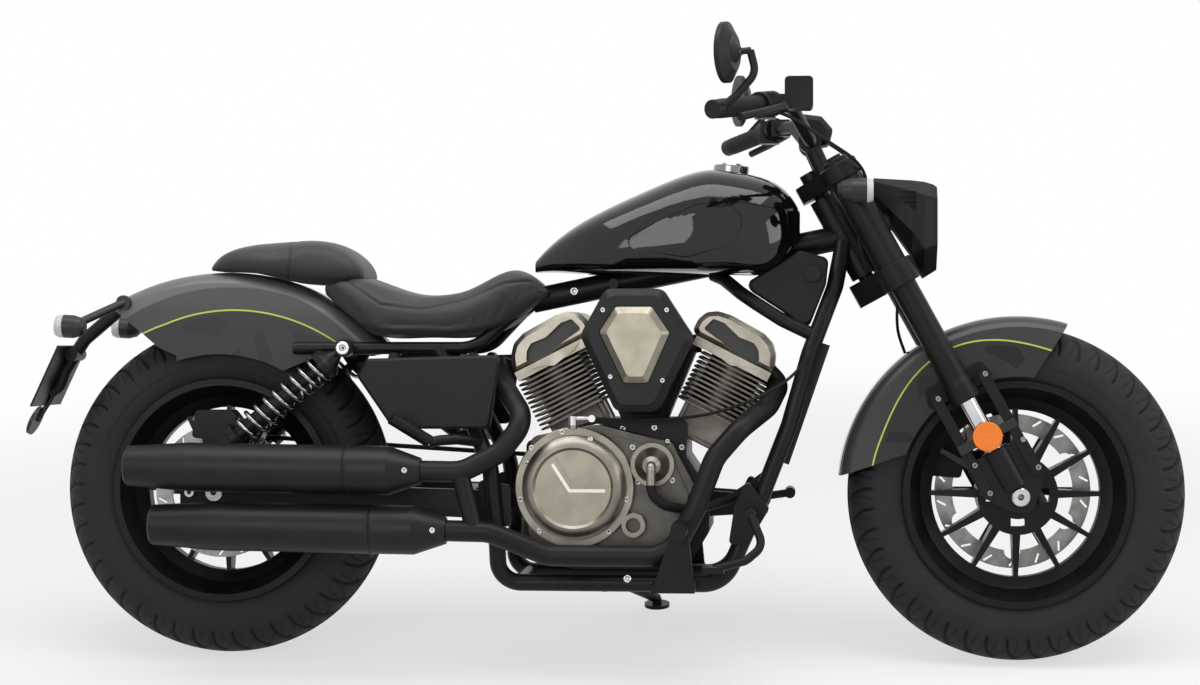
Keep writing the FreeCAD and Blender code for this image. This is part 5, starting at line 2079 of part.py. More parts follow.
# Lean on to the stand, then the middle of the footprint to the origin
placed = {}
for name in nodes:
    shape = nodes[name].copy()
    shape.rotate(ORIGIN, ALONG, -PARKED_LEAN)
    placed[name] = shape
whole = Part.makeCompound(list(placed.values())).optimalBoundingBox(False, False)
shift = vec(-(whole.XMin + whole.XMax) / 2, -(whole.YMin + whole.YMax) / 2, -whole.ZMin)
os.makedirs(OUT_FOLDER, exist_ok=True)
for name in placed:
    shape = placed[name]
    shape.translate(shift)
    solids = [solid for solid in shape.Solids if solid.Volume > 0]
    print("%-20s solids %d valid %s volume %.0f" % (name, len(solids), shape.isValid(), shape.Volume))
    single = solids[0] if len(solids) == 1 else Part.makeCompound(solids)
    single.exportStep(OUT_FOLDER + "/" + name + ".step")
print("extent", whole.XLength, whole.YLength, whole.ZLength)
print("places", list(shift), list(stand_axis), list(STAND_PIVOT), list(foot_floor), stand_swing)
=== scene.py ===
import json
import math

import bpy
import numpy as np
from mathutils import Matrix, Vector


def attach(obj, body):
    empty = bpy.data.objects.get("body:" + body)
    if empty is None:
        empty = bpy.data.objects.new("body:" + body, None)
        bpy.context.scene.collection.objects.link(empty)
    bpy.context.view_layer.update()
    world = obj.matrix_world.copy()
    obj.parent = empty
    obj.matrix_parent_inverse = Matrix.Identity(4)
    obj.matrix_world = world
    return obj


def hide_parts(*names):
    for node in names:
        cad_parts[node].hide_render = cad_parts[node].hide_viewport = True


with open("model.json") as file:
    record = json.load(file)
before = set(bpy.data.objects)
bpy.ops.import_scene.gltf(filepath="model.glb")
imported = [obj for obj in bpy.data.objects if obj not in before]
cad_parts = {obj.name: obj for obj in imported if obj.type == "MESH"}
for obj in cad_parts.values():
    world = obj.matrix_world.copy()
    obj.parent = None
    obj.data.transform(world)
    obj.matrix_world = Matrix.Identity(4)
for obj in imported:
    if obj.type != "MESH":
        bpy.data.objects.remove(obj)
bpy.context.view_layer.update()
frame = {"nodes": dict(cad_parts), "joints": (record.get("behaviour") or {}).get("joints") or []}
nodes = frame["nodes"]

# The motorcycle parks on its side stand and leans to its left. Its pieces are described upright, in millimetres
# forward of the rear axle, to the left and up from the ground, and one matrix takes them to where they stand.
rear_spin = next(joint for joint in frame["joints"] if joint["name"] == "rear_wheel_spin")
lean = math.atan2(-rear_spin["axis"][2], rear_spin["axis"][1])
leaned = Matrix.Rotation(-lean, 4, "X")
FRONT_AXLE = (1530, 0, 320)
REAR_AXLE = (0, 0, 322)
axle_height = Vector((0, 0, REAR_AXLE[2] / 1000))
standing = Matrix.Translation(Vector(rear_spin["pos_m"]) - leaned @ axle_height) @ leaned
parked = standing @ Matrix.Scale(0.001, 4)


# Camera at the height of the air cleaner, a little ahead of the middle, squared up to the leaning machine.
CAMERA_PLACE = (1.1329, -4.6643, 0.6086)
CAMERA_TURN = 0.086
camera = bpy.data.objects.new("camera", bpy.data.cameras.new("camera"))
bpy.context.collection.objects.link(camera)
camera.data.lens = 72.12
camera.matrix_world = (standing @ Matrix.Translation(CAMERA_PLACE)
                       @ Matrix.Rotation(CAMERA_TURN, 4, "Z") @ Matrix.Rotation(math.pi / 2, 4, "X"))
bpy.context.scene.camera = camera
bpy.context.scene.view_settings.view_transform = "Standard"


# Studio: a room that shows white, a pale paper floor that keeps the shadow, one wide lamp overhead and two
# at the sides. The room and the floor look white to the camera and in reflections, and light the rest dimly.
class Shade:
    """A socket in a node tree, with sums on it written as sums."""

    def __init__(self, tree, socket=None):
        self.tree = tree
        self.socket = socket

    def node(self, kind, settings, sockets, output=0):
        made = self.tree.nodes.new("ShaderNode" + kind)
        for name, value in settings.items():
            if name == "stops":
                while len(made.color_ramp.elements) < len(value):
                    made.color_ramp.elements.new(0.5)
                for stop, (place, colour) in zip(made.color_ramp.elements, value):
                    stop.position = place
                    stop.color = (*colour, 1)
            else:
                setattr(made, name, value)
        for name, value in sockets.items():
            if isinstance(value, Shade):
                self.tree.links.new(value.socket, made.inputs[name])
            else:
                made.inputs[name].default_value = value
        return Shade(self.tree, made.outputs[output])

    def math(self, operation, *others):
        return self.node("Math", {"operation": operation}, dict(enumerate((self, *others))))

    def __add__(self, other):
        return self.math("ADD", other)

    __radd__ = __add__

    def __sub__(self, other):
        return self.math("SUBTRACT", other)

    def __rsub__(self, other):
        return self.node("Math", {"operation": "SUBTRACT"}, {0: other, 1: self})

    def __mul__(self, other):
        return self.math("MULTIPLY", other)

    __rmul__ = __mul__

    def __truediv__(self, other):
        return self.math("DIVIDE", other)

    def axis(self, letter):
        return self.node("SeparateXYZ", {}, {0: self}, letter)

    def soft(self, low, high):
        """0 below low, 1 above high, smooth between."""
        return self.node("MapRange", {"interpolation_type": "SMOOTHSTEP"}, {0: self, 1: low, 2: high})

    def mix(self, first, second):
        """The colour first where this is 0 and second where it is 1."""
        return self.node("Mix", {"data_type": "RGBA"}, {0: self, 6: first, 7: second}, 2)

    def noise(self, size, detail=2.0, roughness=0.5):
        return self.node("TexNoise", {}, {
            "Vector": self, "Scale": 1 / size, "Detail": detail, "Roughness": roughness})

    def bump(self, distance, strength=1.0):
        return self.node("Bump", {}, {"Height": self, "Distance": distance, "Strength": strength})


def seen_directly(tree):
    """1 for rays from the camera, in a reflection or through glass, and 0 for light that falls on things."""
    paths = [Shade(tree).node("LightPath", {}, {}, name)
             for name in ("Is Camera Ray", "Is Transmission Ray", "Is Glossy Ray")]
    return paths[0].math("MAXIMUM", paths[1]).math("MAXIMUM", paths[2])


world = bpy.data.worlds.new("studio")
bpy.context.scene.world = world
world.use_nodes = True
room = world.node_tree.nodes["Background"]
room.inputs["Color"].default_value = (1, 1, 1, 1)
world.node_tree.links.new((0.36 + seen_directly(world.node_tree) * 0.64).socket, room.inputs["Strength"])

bpy.ops.mesh.primitive_plane_add(size=60)
floor = bpy.context.object
floor.name = "floor"
paper = bpy.data.materials.new("paper_floor")
paper.use_nodes = True
tree = paper.node_tree
sheet = tree.nodes["Principled BSDF"]
sheet.inputs["Base Color"].default_value = (0.8, 0.8, 0.8, 1)
sheet.inputs["Roughness"].default_value = 0.7
sheet.inputs["Specular IOR Level"].default_value = 0.1
spot = Shade(tree).node("TexCoord", {}, {}, "Object")
far = spot.node("VectorMath", {"operation": "LENGTH"}, {0: spot}, "Value").soft(1.3, 3.0)
white = spot.node("Emission", {}, {"Color": (1, 1, 1, 1), "Strength": 1.0})
shown = spot.node("MixShader", {}, {
    0: seen_directly(tree) * (0.62 + far * 0.38), 1: Shade(tree, sheet.outputs[0]), 2: white})
tree.links.new(shown.socket, tree.nodes["Material Output"].inputs["Surface"])
floor.data.materials.append(paper)


def soft_box(name, place, aim, width, height, power):
    """A wide lamp that faces a point: places and sizes in metres, power in watts."""
    light = bpy.data.lights.new(name, "AREA")
    light.shape = "RECTANGLE"
    light.size = width
    light.size_y = height
    light.energy = power
    lamp = bpy.data.objects.new(name, light)
    bpy.context.collection.objects.link(lamp)
    lamp.location = place
    lamp.rotation_euler = (Vector(aim) - Vector(place)).to_track_quat("-Z", "Y").to_euler()


soft_box("overhead_lamp", (0.1, -0.5, 3.0), (0.1, -0.1, 0.6), 4.2, 1.5, 78)
soft_box("side_lamp", (-1.2, -4.2, 2.2), (0.0, 0.0, 0.5), 2.6, 1.4, 40)
soft_box("front_lamp", (3.6, -1.4, 1.6), (0.6, 0.0, 0.6), 1.4, 1.6, 24)


# Finishes. Each works from the upright place in millimetres, so that grain keeps its real scale everywhere:
# paint and plastic with orange peel and dust, metals with grain and stains, and a look for each special piece.
def finish(name, constants, varying):
    """A material: constants go on the shader's own sockets, varying gives what changes over the surface."""
    material = bpy.data.materials.new(name)
    material.use_nodes = True
    tree = material.node_tree
    shader = tree.nodes["Principled BSDF"]
    for socket, value in constants.items():
        shader.inputs[socket].default_value = value
    start = Shade(tree)
    upright = Matrix.Rotation(lean, 3, "X")
    place = start.node("Mapping", {}, {
        "Vector": start.node("TexCoord", {}, {}, "Object"),
        "Location": -(upright @ parked.translation) * 1000,
        "Rotation": (lean, 0, 0), "Scale": (1000, 1000, 1000)})
    for socket, value in varying(place).items():
        tree.links.new(value.socket, shader.inputs[socket])
    return material


def grey(level, warmth=0.0):
    return (level * (1 + warmth), level, level * (1 - 2 * warmth), 1)


def coated(name, level, roughness, grain=1.2, relief=0.00002, warmth=0.0, **constants):
    """Paint, powder coat or moulded plastic: cloudy colour, a fine orange peel and a little dust on top."""
    def look(place):
        cloud = place.noise(90, 3).soft(0.3, 0.7)
        peel = place.noise(grain, 2)
        facing = place.node("NewGeometry", {}, {}, "Normal").axis("Z").soft(0.2, 1.0)
        dust = facing * place.noise(14, 4, 0.7).soft(0.45, 0.75) * 0.35
        colour = cloud.mix(grey(level * 0.86, warmth), grey(level * 1.16, warmth))
        return {"Base Color": dust.mix(colour, grey(level * 1.5 + 0.012, 0.05)),
                "Roughness": roughness - 0.04 + cloud * 0.06 + dust * 0.3 + (peel - 0.5) * 0.08,
                "Normal": peel.bump(relief)}
    return finish(name, {"Specular IOR Level": 0.16, **constants}, look)


def metal(name, level, roughness, size=(2.0, 2.0, 2.0), relief=0.00003, warmth=0.0, tarnish=0.25):
    """Bare or clear-coated metal: streaks of the brushing or the grain of the casting, and darker stains."""
    def look(place):
        fine = place.node("VectorMath", {"operation": "DIVIDE"}, {0: place, 1: size}).noise(1, 3, 0.6)
        stain = place.noise(38, 4, 0.6).soft(0.35, 0.75)
        colour = stain.mix(grey(level * 1.08, warmth), grey(level * (1 - tarnish), warmth * 1.3))
        return {"Base Color": colour, "Roughness": roughness + (fine - 0.5) * 0.16 + stain * 0.06,
                "Normal": fine.bump(relief)}
    return finish(name, {"Metallic": 1.0}, look)


def dress(material, *names):
    """Gives pieces that keep their solid shape their finish."""
    for name in names:
        for slot in nodes[name].material_slots:
            slot.link = "OBJECT"
            slot.material = material


satin_black = coated("satin_black_paint", 0.0085, 0.38)
gloss_black = coated("gloss_black_lacquer", 0.003, 0.07, grain=6.0, relief=0.000004,
                     **{"Specular IOR Level": 0.45})
matte_black = coated("heatproof_black", 0.0095, 0.42, grain=0.8, relief=0.00003)
hard_plastic = coated("black_plastic", 0.012, 0.48, grain=0.9, relief=0.00005)
soft_rubber = coated("black_rubber", 0.009, 0.65, grain=1.6, relief=0.00006)
cast_grey = metal("cast_engine_grey", 0.28, 0.34, size=(1.4, 1.4, 1.4), relief=0.00004, warmth=0.07)
bright_chrome = metal("chrome", 0.62, 0.10, size=(6, 6, 6), relief=0.000002, tarnish=0.15)
smoke_chrome = metal("smoked_chrome", 0.24, 0.14, size=(6, 6, 6), relief=0.000003, tarnish=0.2)
bolt_steel = metal("bolt_steel", 0.55, 0.25, size=(3, 3, 3), tarnish=0.2)


# Cables and the brake hose: steel or hydraulic lines in black rubber. Each runs between the parts that it
# works, rides with one body, and keeps the way that the solid model gives it.
LINE_DIAMETER = 0.006


def line(name, body, replaced, points):
    curve = bpy.data.curves.new(name, "CURVE")
    curve.dimensions = "3D"
    curve.bevel_depth = LINE_DIAMETER / 2
    curve.bevel_resolution = 4
    curve.resolution_u = 10
    curve.use_fill_caps = True
    spline = curve.splines.new("NURBS")
    spline.points.add(len(points) - 1)
    for point, place in zip(spline.points, points):
        point.co = (*(parked @ Vector(place)), 1)
    spline.order_u = 3
    spline.use_endpoint_u = True
    piece = bpy.data.objects.new(name, curve)
    bpy.context.collection.objects.link(piece)
    curve.materials.append(soft_rubber)
    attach(piece, body)
    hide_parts(replaced)


line("clutch_line", "chassis", "clutch_cable", [
    (736, -154, 465.5), (784, -153, 462.5), (838, -152, 462.5), (892, -151, 465.5), (944, -150, 472.5),
    (998, -149, 487.5), (1048, -146, 508.5), (1096, -140, 536.5), (1133, -131, 575.5), (1160, -118, 619.5),
    (1176, -102, 661.5)])
line("throttle_line", "steering", "control_cables", [
    (1075.7, -283.6, 1028.7), (1107.7, -272.6, 1018.7), (1144.7, -243.6, 994.7), (1182.7, -205.6, 972.7),
    (1217.7, -160.6, 953.7), (1240.7, -112.6, 930.7), (1247.7, -72.6, 896.7), (1236.7, -50.6, 858.7),
    (1227.7, -48.6, 815.7), (1236.7, -52.6, 775.7), (1245.7, -55.6, 742.7)])
line("switch_line", "steering", "control_cables", [
    (1098.3, 253.2, 1045.2), (1130.3, 246.2, 1036.2), (1168.3, 224.2, 1016.2), (1203.3, 190.2, 990.2),
    (1228.3, 148.2, 962.2), (1245.3, 108.2, 930.2), (1249.3, 74.2, 895.2), (1238.3, 52.2, 856.2),
    (1229.3, 48.2, 814.2), (1237.3, 52.2, 775.2), (1246.3, 55.2, 742.2)])
line("brake_line", "steering", "front_brake_hose", [
    (1299.9, -25, 709), (1305.9, -20, 687), (1304.9, 10, 657), (1308.9, 45, 625), (1321.9, 71, 592),
    (1333.9, 84, 560), (1345.9, 86, 520), (1367.9, 84, 482), (1393.9, 77, 459), (1410.9, 69, 447)])


# Tyres: black rubber over a wired carcass, with hooked grooves cut into each shoulder and a zigzag pair round
# the crown. Each is one section turned about its axle, and the grooves are pressed into the tread afterwards.
RIM_RADIUS = 203.3
GROOVE_DEPTH = 4.5
GROOVES_AROUND = 45
SECTION_STEPS = 26
TURN_STEPS = 900


def tyre_look(place):
    worn = place.noise(60, 4, 0.6).soft(0.3, 0.7)
    painted_groove_shade = place.node("Attribute", {"attribute_name": "groove"}, {}, "Fac")
    grain = place.noise(1.5, 3, 0.6)
    colour = worn.mix(grey(0.012), grey(0.018))
    # The groove bottoms are painted near-black: painted shade in the grooves.
    return {"Base Color": painted_groove_shade.soft(0.15, 0.9).mix(colour, grey(0.002)),
            "Roughness": 0.60 + worn * 0.08 + (grain - 0.5) * 0.15, "Normal": grain.bump(0.00008)}


tyre_rubber = finish("tyre_rubber", {"Specular IOR Level": 0.22}, tyre_look)


def place_piece(piece, name, material, body, slot, *replaced):
    """Gives a piece that was modelled upright its place, finish and body."""
    piece.name = name
    piece.data.transform(parked @ piece.matrix_world)
    piece.matrix_world = Matrix.Identity(4)
    piece.data.materials.clear()
    piece.data.materials.append(material)
    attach(piece, body)
    if replaced:
        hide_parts(*replaced)
    return piece


def tyre(name, body, axle, radius, half):
    """A tyre with its tread, from its axle, outer radius and half width."""
    height = radius - RIM_RADIUS
    shoulder_y = half * 0.93
    shoulder_drop = height * 0.36
    crown = (shoulder_y ** 2 + shoulder_drop ** 2) / (2 * shoulder_drop)
    turn = math.asin(min(1, shoulder_y / crown))
    steps = [turn * step / SECTION_STEPS for step in range(SECTION_STEPS + 1)]
    section = [(crown * math.sin(step), radius - crown + crown * math.cos(step)) for step in steps]
    wall = [(0.97, 0.42), (0.995, 0.50), (1.0, 0.58), (1.0, 0.62), (0.985, 0.635), (0.985, 0.68), (0.965, 0.74),
            (0.93, 0.80), (0.90, 0.86), (0.868, 0.885), (0.86, 0.90), (0.82, 0.95), (0.80, 1.0)]
    section += [(half * wide, radius - height * drop) for wide, drop in wall]
    outline = [(-y, r) for y, r in reversed(section[1:])] + section
    bpy.ops.object.select_all(action="DESELECT")
    bpy.ops.mesh.primitive_circle_add(vertices=len(outline), radius=radius)
    piece = bpy.context.object
    for point, (y, r) in zip(piece.data.vertices, outline):
        point.co = (axle[0], y, axle[2] + r)
    bpy.ops.object.mode_set(mode="EDIT")
    bpy.ops.mesh.select_all(action="SELECT")
    bpy.ops.mesh.spin(steps=TURN_STEPS, angle=2 * math.pi, center=axle, axis=(0, 1, 0))
    bpy.ops.mesh.select_all(action="SELECT")
    bpy.ops.mesh.remove_doubles(threshold=0.05)
    bpy.ops.mesh.normals_make_consistent(inside=False)
    bpy.ops.object.mode_set(mode="OBJECT")
    bpy.ops.object.shade_smooth()
    co = np.zeros(len(piece.data.vertices) * 3)
    piece.data.vertices.foreach_get("co", co)
    co = co.reshape(-1, 3) - np.array(axle)
    around = np.arctan2(co[:, 2], co[:, 0])
    reach = np.hypot(co[:, 0], co[:, 2])
    side = np.sign(co[:, 1])
    tilt = np.arctan2(np.abs(co[:, 1]), reach - (radius - crown))
    over = crown * tilt
    end = crown * turn
    pitch = 2 * np.pi / GROOVES_AROUND

    def off(shift):
        return np.abs((around - shift + side * pitch / 4 + pitch / 2) % pitch - pitch / 2) * reach

    rise = np.clip((end - over) / (end * 0.75), 0, 1)
    hook = 0.085 * rise ** 2.2
    depth = np.zeros(len(co))
    inside = (over > end * 0.25) & (over < end * 1.04)
    depth = np.maximum(depth, inside * np.clip(1.5 - off(hook) / 2.6, 0, 1))
    branch = (over > end * 0.42) & (over < end * 0.98)
    depth = np.maximum(depth, 0.5 * branch * np.clip(1.5 - off(pitch * 0.5 - 0.04 * rise) / 1.9, 0, 1))
    link = end * (0.60 + 0.14 * np.cos((around + side * pitch / 4) * GROOVES_AROUND))
    depth = np.maximum(depth, 0.55 * np.clip(1.5 - np.abs(over - link) / 1.6, 0, 1))
    zigzag = end * (0.17 + 0.03 * np.cos(around * GROOVES_AROUND * 2))
    depth = np.maximum(depth, 0.8 * np.clip(1.6 - np.abs(over - zigzag) / 2.4, 0, 1))
    depth[reach < radius - shoulder_drop * 1.25] = 0
    inward = np.stack([np.cos(around) * np.cos(tilt), side * np.sin(tilt), np.sin(around) * np.cos(tilt)], 1)
    co = co - inward * (depth * GROOVE_DEPTH)[:, None] + np.array(axle)
    piece.data.vertices.foreach_set("co", co.ravel())
    piece.data.attributes.new("groove", "FLOAT", "POINT").data.foreach_set("value", depth)
    place_piece(piece, name, tyre_rubber, body, "tyre", body.replace("wheel", "tyre"))


tyre("front_tyre_tread", "front_wheel", FRONT_AXLE, FRONT_AXLE[2], 65)
tyre("rear_tyre_tread", "rear_wheel", REAR_AXLE, REAR_AXLE[2], 75)


# Wheels, discs and belt drive: cast rims in black, a slotted steel disc bolted to each, a toothed pulley on the
# rear hub and its rubber belt. The metal keeps its turning marks.
def disc_look(axle, band):
    """A brake disc turned about an axle, its swept band bright and its carrier dark."""
    def look(place):
        x = place.axis("X") - axle[0]
        z = place.axis("Z") - axle[2]
        reach = (x * x + z * z).math("SQRT")
        turn = place.node("CombineXYZ", {}, {0: reach, 1: z.math("ARCTAN2", x) * 3.0, 2: 0.0})
        brushed = turn.noise(0.7, 3, 0.6)
        swept = reach.soft(band - 2, band + 2)
        colour = swept.mix(grey(0.045), grey(0.30))
        heat = place.noise(30, 3).soft(0.35, 0.7)
        return {"Base Color": heat.mix(colour, swept.mix(grey(0.035), grey(0.20, 0.04))),
                "Roughness": 0.30 + (brushed - 0.5) * 0.25, "Normal": brushed.bump(0.00003)}
    return look


wheel_black = coated("cast_wheel_black", 0.007, 0.34, grain=1.0, relief=0.00003)
dress(wheel_black, "front_wheel", "rear_wheel")
dress(finish("front_disc_steel", {"Metallic": 1.0}, disc_look(FRONT_AXLE, 114)), "front_disc")
dress(finish("rear_disc_steel", {"Metallic": 1.0}, disc_look(REAR_AXLE, 96)), "rear_disc")
dress(metal("pulley_metal", 0.10, 0.4, relief=0.00004), "rear_pulley")
dress(soft_rubber, "drive_belt")
dress(bolt_steel, "front_axle", "rear_axle")


# Fork and steering: black tubes over bright stanchions, cast lower ends that carry the fender on bolted struts,
# forged yokes, a bent bar with ribbed rubber grips, and round mirrors on bright hubs.
to_upright = parked.inverted()


def seat(node, place, way):
    """Where a line from a place, running a given way, first meets a piece, and how that surface faces."""
    hit, point, facing, face = nodes[node].ray_cast(parked @ Vector(place), leaned.to_3x3() @ Vector(way))
    if not hit:
        print("nothing to seat on", node, place)
        return None, None
    return to_upright @ point, (to_upright.to_3x3() @ facing).normalized()


def choose(piece, test):
    """Selects the faces that pass a test, and nothing else, ready to be shaped."""
    bpy.ops.object.mode_set(mode="OBJECT")
    for part in (*piece.data.vertices, *piece.data.edges):
        part.select = False
    for face in piece.data.polygons:
        face.select = test(face)
    bpy.ops.object.mode_set(mode="EDIT")
    bpy.ops.mesh.select_mode(type="FACE")


def apply(piece, kind, **settings):
    """Gives a piece one modifier and makes its result the piece's own shape."""
    modifier = piece.modifiers.new(kind.lower(), kind)
    for name, value in settings.items():
        setattr(modifier, name, value)
    bpy.ops.object.mode_set(mode="OBJECT")
    bpy.context.view_layer.objects.active = piece
    bpy.ops.object.modifier_apply(modifier=modifier.name)


def copies(pattern, places, name, material, body, slot, *replaced):
    """Copies one finished piece to several places, joins them and throws the pattern away."""
    made = []
    for place in places:
        copy = bpy.data.objects.new(name, pattern.data.copy())
        bpy.context.collection.objects.link(copy)
        copy.data.transform(place)
        made.append(copy)
    bpy.data.objects.remove(pattern)
    bpy.ops.object.select_all(action="DESELECT")
    for copy in made:
        copy.select_set(True)
    bpy.context.view_layer.objects.active = made[0]
    if len(made) > 1:
        bpy.ops.object.join()
    bpy.ops.object.shade_smooth_by_angle(angle=0.6)
    return place_piece(bpy.context.object, name, material, body, slot, *replaced)


def bolts(name, body, node, radius, spots, material=bolt_steel, side=-1, socket=0.5):
    """Dome-headed socket bolts, each seated on the piece that it holds."""
    bpy.ops.object.select_all(action="DESELECT")
    bpy.ops.mesh.primitive_cylinder_add(vertices=20, radius=1, depth=1.1)
    head = bpy.context.object
    choose(head, lambda face: face.normal.z > 0.9)
    bpy.ops.mesh.inset(thickness=socket)
    bpy.ops.mesh.extrude_region_move(TRANSFORM_OT_translate={"value": (0, 0, -0.55)})
    apply(head, "BEVEL", width=0.2, segments=3, limit_method="ANGLE", angle_limit=0.9)
    found = []
    for x, z in spots:
        point, facing = seat(node, (x, side * 480, z), (0, -side, 0))
        if point is not None:
            turn = facing.to_track_quat("Z", "Y").to_matrix().to_4x4()
            found.append(Matrix.Translation(point) @ turn @ Matrix.Scale(radius, 4))
    return copies(head, found, name, material, body, None)


STRUT_BOLTS = [(1464, 550), (1377, 503), (1534, 428), (1562, 376), (1445, 379), (1473, 327)]
dress(satin_black, "fork_tubes", "fork_yokes", "fork_castings", "swingarm", "frame", "side_stand",
      "plate_bracket", "foot_levers", "handlebar", "bar_controls", "front_caliper", "rear_caliper", "foot_pegs")
dress(bright_chrome, "fork_stanchions")
dress(hard_plastic, "headlight_housing", "instrument", "battery_box")
dress(bolt_steel, "mount_bosses")
bolts("strut_bolts_right", "steering", "fork_castings", 5.2, STRUT_BOLTS, smoke_chrome)
bolts("strut_bolts_left", "steering", "fork_castings", 5.2, STRUT_BOLTS, smoke_chrome, side=1)
bolts("frame_bolts", "chassis", "frame", 8.0, [(794, 161), (683, 708)])


def grip_look(place):
    across = place.node("VectorMath", {"operation": "ABSOLUTE"}, {0: place})
    along = across.axis("X") * -0.535 + across.axis("Y") * 0.835 - across.axis("Z") * 0.128
    ribs = (along * (math.tau / 6)).math("SINE").soft(-0.4, 0.4)
    grain = place.noise(1.5, 3)
    # The rib crests are painted lighter and the valleys between them darker: painted shade in the valleys.
    return {"Base Color": ribs.mix(grey(0.006), grey(0.012)), "Roughness": 0.6 + grain * 0.1,
            "Normal": ribs.bump(0.0008)}


dress(finish("ribbed_grip_rubber", {"Specular IOR Level": 0.2}, grip_look), "grips")


MIRROR_HUB = (1001, 432.4, 1119.3)
MIRROR_HUB_RADIUS = 15


def mirror_look(place):
    half = place.node("VectorMath", {"operation": "ABSOLUTE"}, {0: place})
    hub = half.node("VectorMath", {"operation": "DISTANCE"}, {0: half, 1: MIRROR_HUB}, "Value")
    bright = 1 - hub.soft(MIRROR_HUB_RADIUS, MIRROR_HUB_RADIUS + 1)
    peel = place.noise(1.2, 2)
    return {"Base Color": bright.mix(grey(0.010), grey(0.55)), "Metallic": bright,
            "Roughness": 0.45 - bright * 0.33 + (peel - 0.5) * 0.06, "Normal": peel.bump(0.00002)}


dress(finish("mirror_shell", {"Specular IOR Level": 0.2}, mirror_look), "mirrors")


# Fenders: pressed steel with black lacquer over the crown and satin grey flanks. A thin yellow-green line runs
# along each flank, and below it lie darker waves under the clear coat.
def fender_look(axle, line_at, band_at, crown_half, light, mid, dark):
    """Paint laid out by angle and distance from the axle that the fender follows."""
    def look(place):
        x = place.axis("X") - axle[0]
        z = place.axis("Z") - axle[2]
        reach = (x * x + z * z).math("SQRT")
        turn = z.math("ARCTAN2", x) * math.degrees(1)
        aside = place.axis("Y").math("ABSOLUTE")
        flank = aside.soft(crown_half - 1, crown_half + 1)
        below = line_at(turn) - reach
        stripe = (1 - below.math("ABSOLUTE").soft(1.1, 1.9)) * flank
        cloud = place.noise(130, 3).soft(0.3, 0.7)
        side = cloud.mix(grey(mid * 0.92), grey(mid * 1.1))
        side = (reach - band_at(turn)).soft(-1.5, 1.5).mix(side, grey(light))
        wave = (turn * 0.33 + below * 0.055 + (turn * 0.16).math("SINE") * 1.4).math("SINE")
        leaf = (turn * 0.21 - below * 0.035 + 1.3).math("SINE")
        motif = wave.soft(0.25, 0.35) * leaf.soft(-0.35, -0.25) * below.soft(9, 11)
        low = motif.mix(grey(dark), grey(dark * 0.40))
        side = below.soft(-1, 1).mix(side, low)
        colour = flank.mix(grey(0.006), side)
        colour = stripe.mix(colour, (0.50, 0.60, 0.09, 1))
        peel = place.noise(4.0, 2)
        return {"Base Color": colour, "Roughness": 0.12 + flank * 0.24 + motif * -0.10 + (cloud - 0.5) * 0.05,
                "Normal": peel.bump(0.000006), "Coat Weight": 0.45 - flank * 0.35}
    return look


dress(finish("front_fender_paint", {"Coat Roughness": 0.05, "Specular IOR Level": 0.25}, fender_look(
    FRONT_AXLE, lambda turn: 305 - (turn - 115).math("ABSOLUTE").soft(0, 44) * 26,
    lambda turn: turn * 0 + 500, 40, 0.05, 0.040, 0.020)), "front_fender")
dress(finish("rear_fender_paint", {"Coat Roughness": 0.05, "Specular IOR Level": 0.25}, fender_look(
    REAR_AXLE, lambda turn: 339 + (108 - turn).math("MAXIMUM", 0) * 0.5,
    lambda turn: 402 - (turn - 68).math("ABSOLUTE") * 0.42, 30, 0.13, 0.05, 0.022)), "rear_fender")


# Lamps: a clear headlamp lens over its reflector, and indicators and reflectors moulded in black round a lens
# of their own. Every lens has fine ribs.
def lens(name, colour, pitch):
    """A clear lens with crossed ribs at a given pitch."""
    def look(place):
        across = (place.axis("Y") * (math.tau / pitch)).math("SINE")
        ribs = across * (place.axis("Z") * (math.tau / pitch)).math("SINE")
        haze = place.noise(25, 3).soft(0.3, 0.7)
        return {"Base Color": haze.mix(colour, tuple(0.8 * c for c in colour[:3]) + (1,)),
                "Roughness": 0.08 + haze * 0.05, "Normal": ribs.bump(0.0002)}
    return finish(name, {"Coat Weight": 0.6, "Coat Roughness": 0.03}, look)


dress(lens("clear_lens", (0.55, 0.57, 0.58, 1), 9), "headlight_lens")


def part_lens(name, colour, chosen):
    """A lamp moulded in black with a lens in part of it."""
    def look(place):
        lit = chosen(place)
        ribs = (place.axis("X") * 2.1).math("SINE") * (place.axis("Z") * 2.1).math("SINE")
        peel = place.noise(1.0, 2)
        return {"Base Color": lit.mix(grey(0.010), colour), "Normal": (ribs * lit).bump(0.0003),
                "Roughness": 0.42 - lit * 0.28 + (peel - 0.5) * 0.06}
    return finish(name, {"Specular IOR Level": 0.35}, look)


REFLECTOR_X = 1468
REFLECTOR_Z = 433
REFLECTOR_RADIUS = 27.2


def from_reflector(place):
    """The round lens in the fork's reflector housing."""
    x = place.axis("X") - REFLECTOR_X
    z = place.axis("Z") - REFLECTOR_Z
    inside = 1 - (x * x + z * z).math("SQRT").soft(REFLECTOR_RADIUS, REFLECTOR_RADIUS + 0.6)
    return inside * place.axis("Y").math("ABSOLUTE").soft(131, 132)


def facing_along(place, way):
    """How far a surface faces an upright direction: 1 squarely, 0 edge on and -1 away."""
    normal = place.node("NewGeometry", {}, {}, "Normal")
    way = tuple(leaned.to_3x3() @ Vector(way))
    return normal.node("VectorMath", {"operation": "DOT_PRODUCT"}, {0: normal, 1: way}, "Value")


dress(part_lens("amber_reflector", (0.93, 0.22, 0.01, 1), from_reflector), "fork_reflectors")
dress(part_lens("red_reflector", (0.50, 0.01, 0.01, 1),
                lambda place: facing_along(place, (-1, 0, 0)).soft(0.72, 0.8)), "tail_reflector")
CLEAR = (0.55, 0.56, 0.57, 1)
dress(part_lens("front_indicator_lens", CLEAR,
                lambda place: place.axis("X").soft(1243, 1243.6)), "front_indicators")
dress(part_lens("rear_indicator_lens", CLEAR,
                lambda place: 1 - place.axis("X").soft(-277, -276.4)), "rear_indicators")


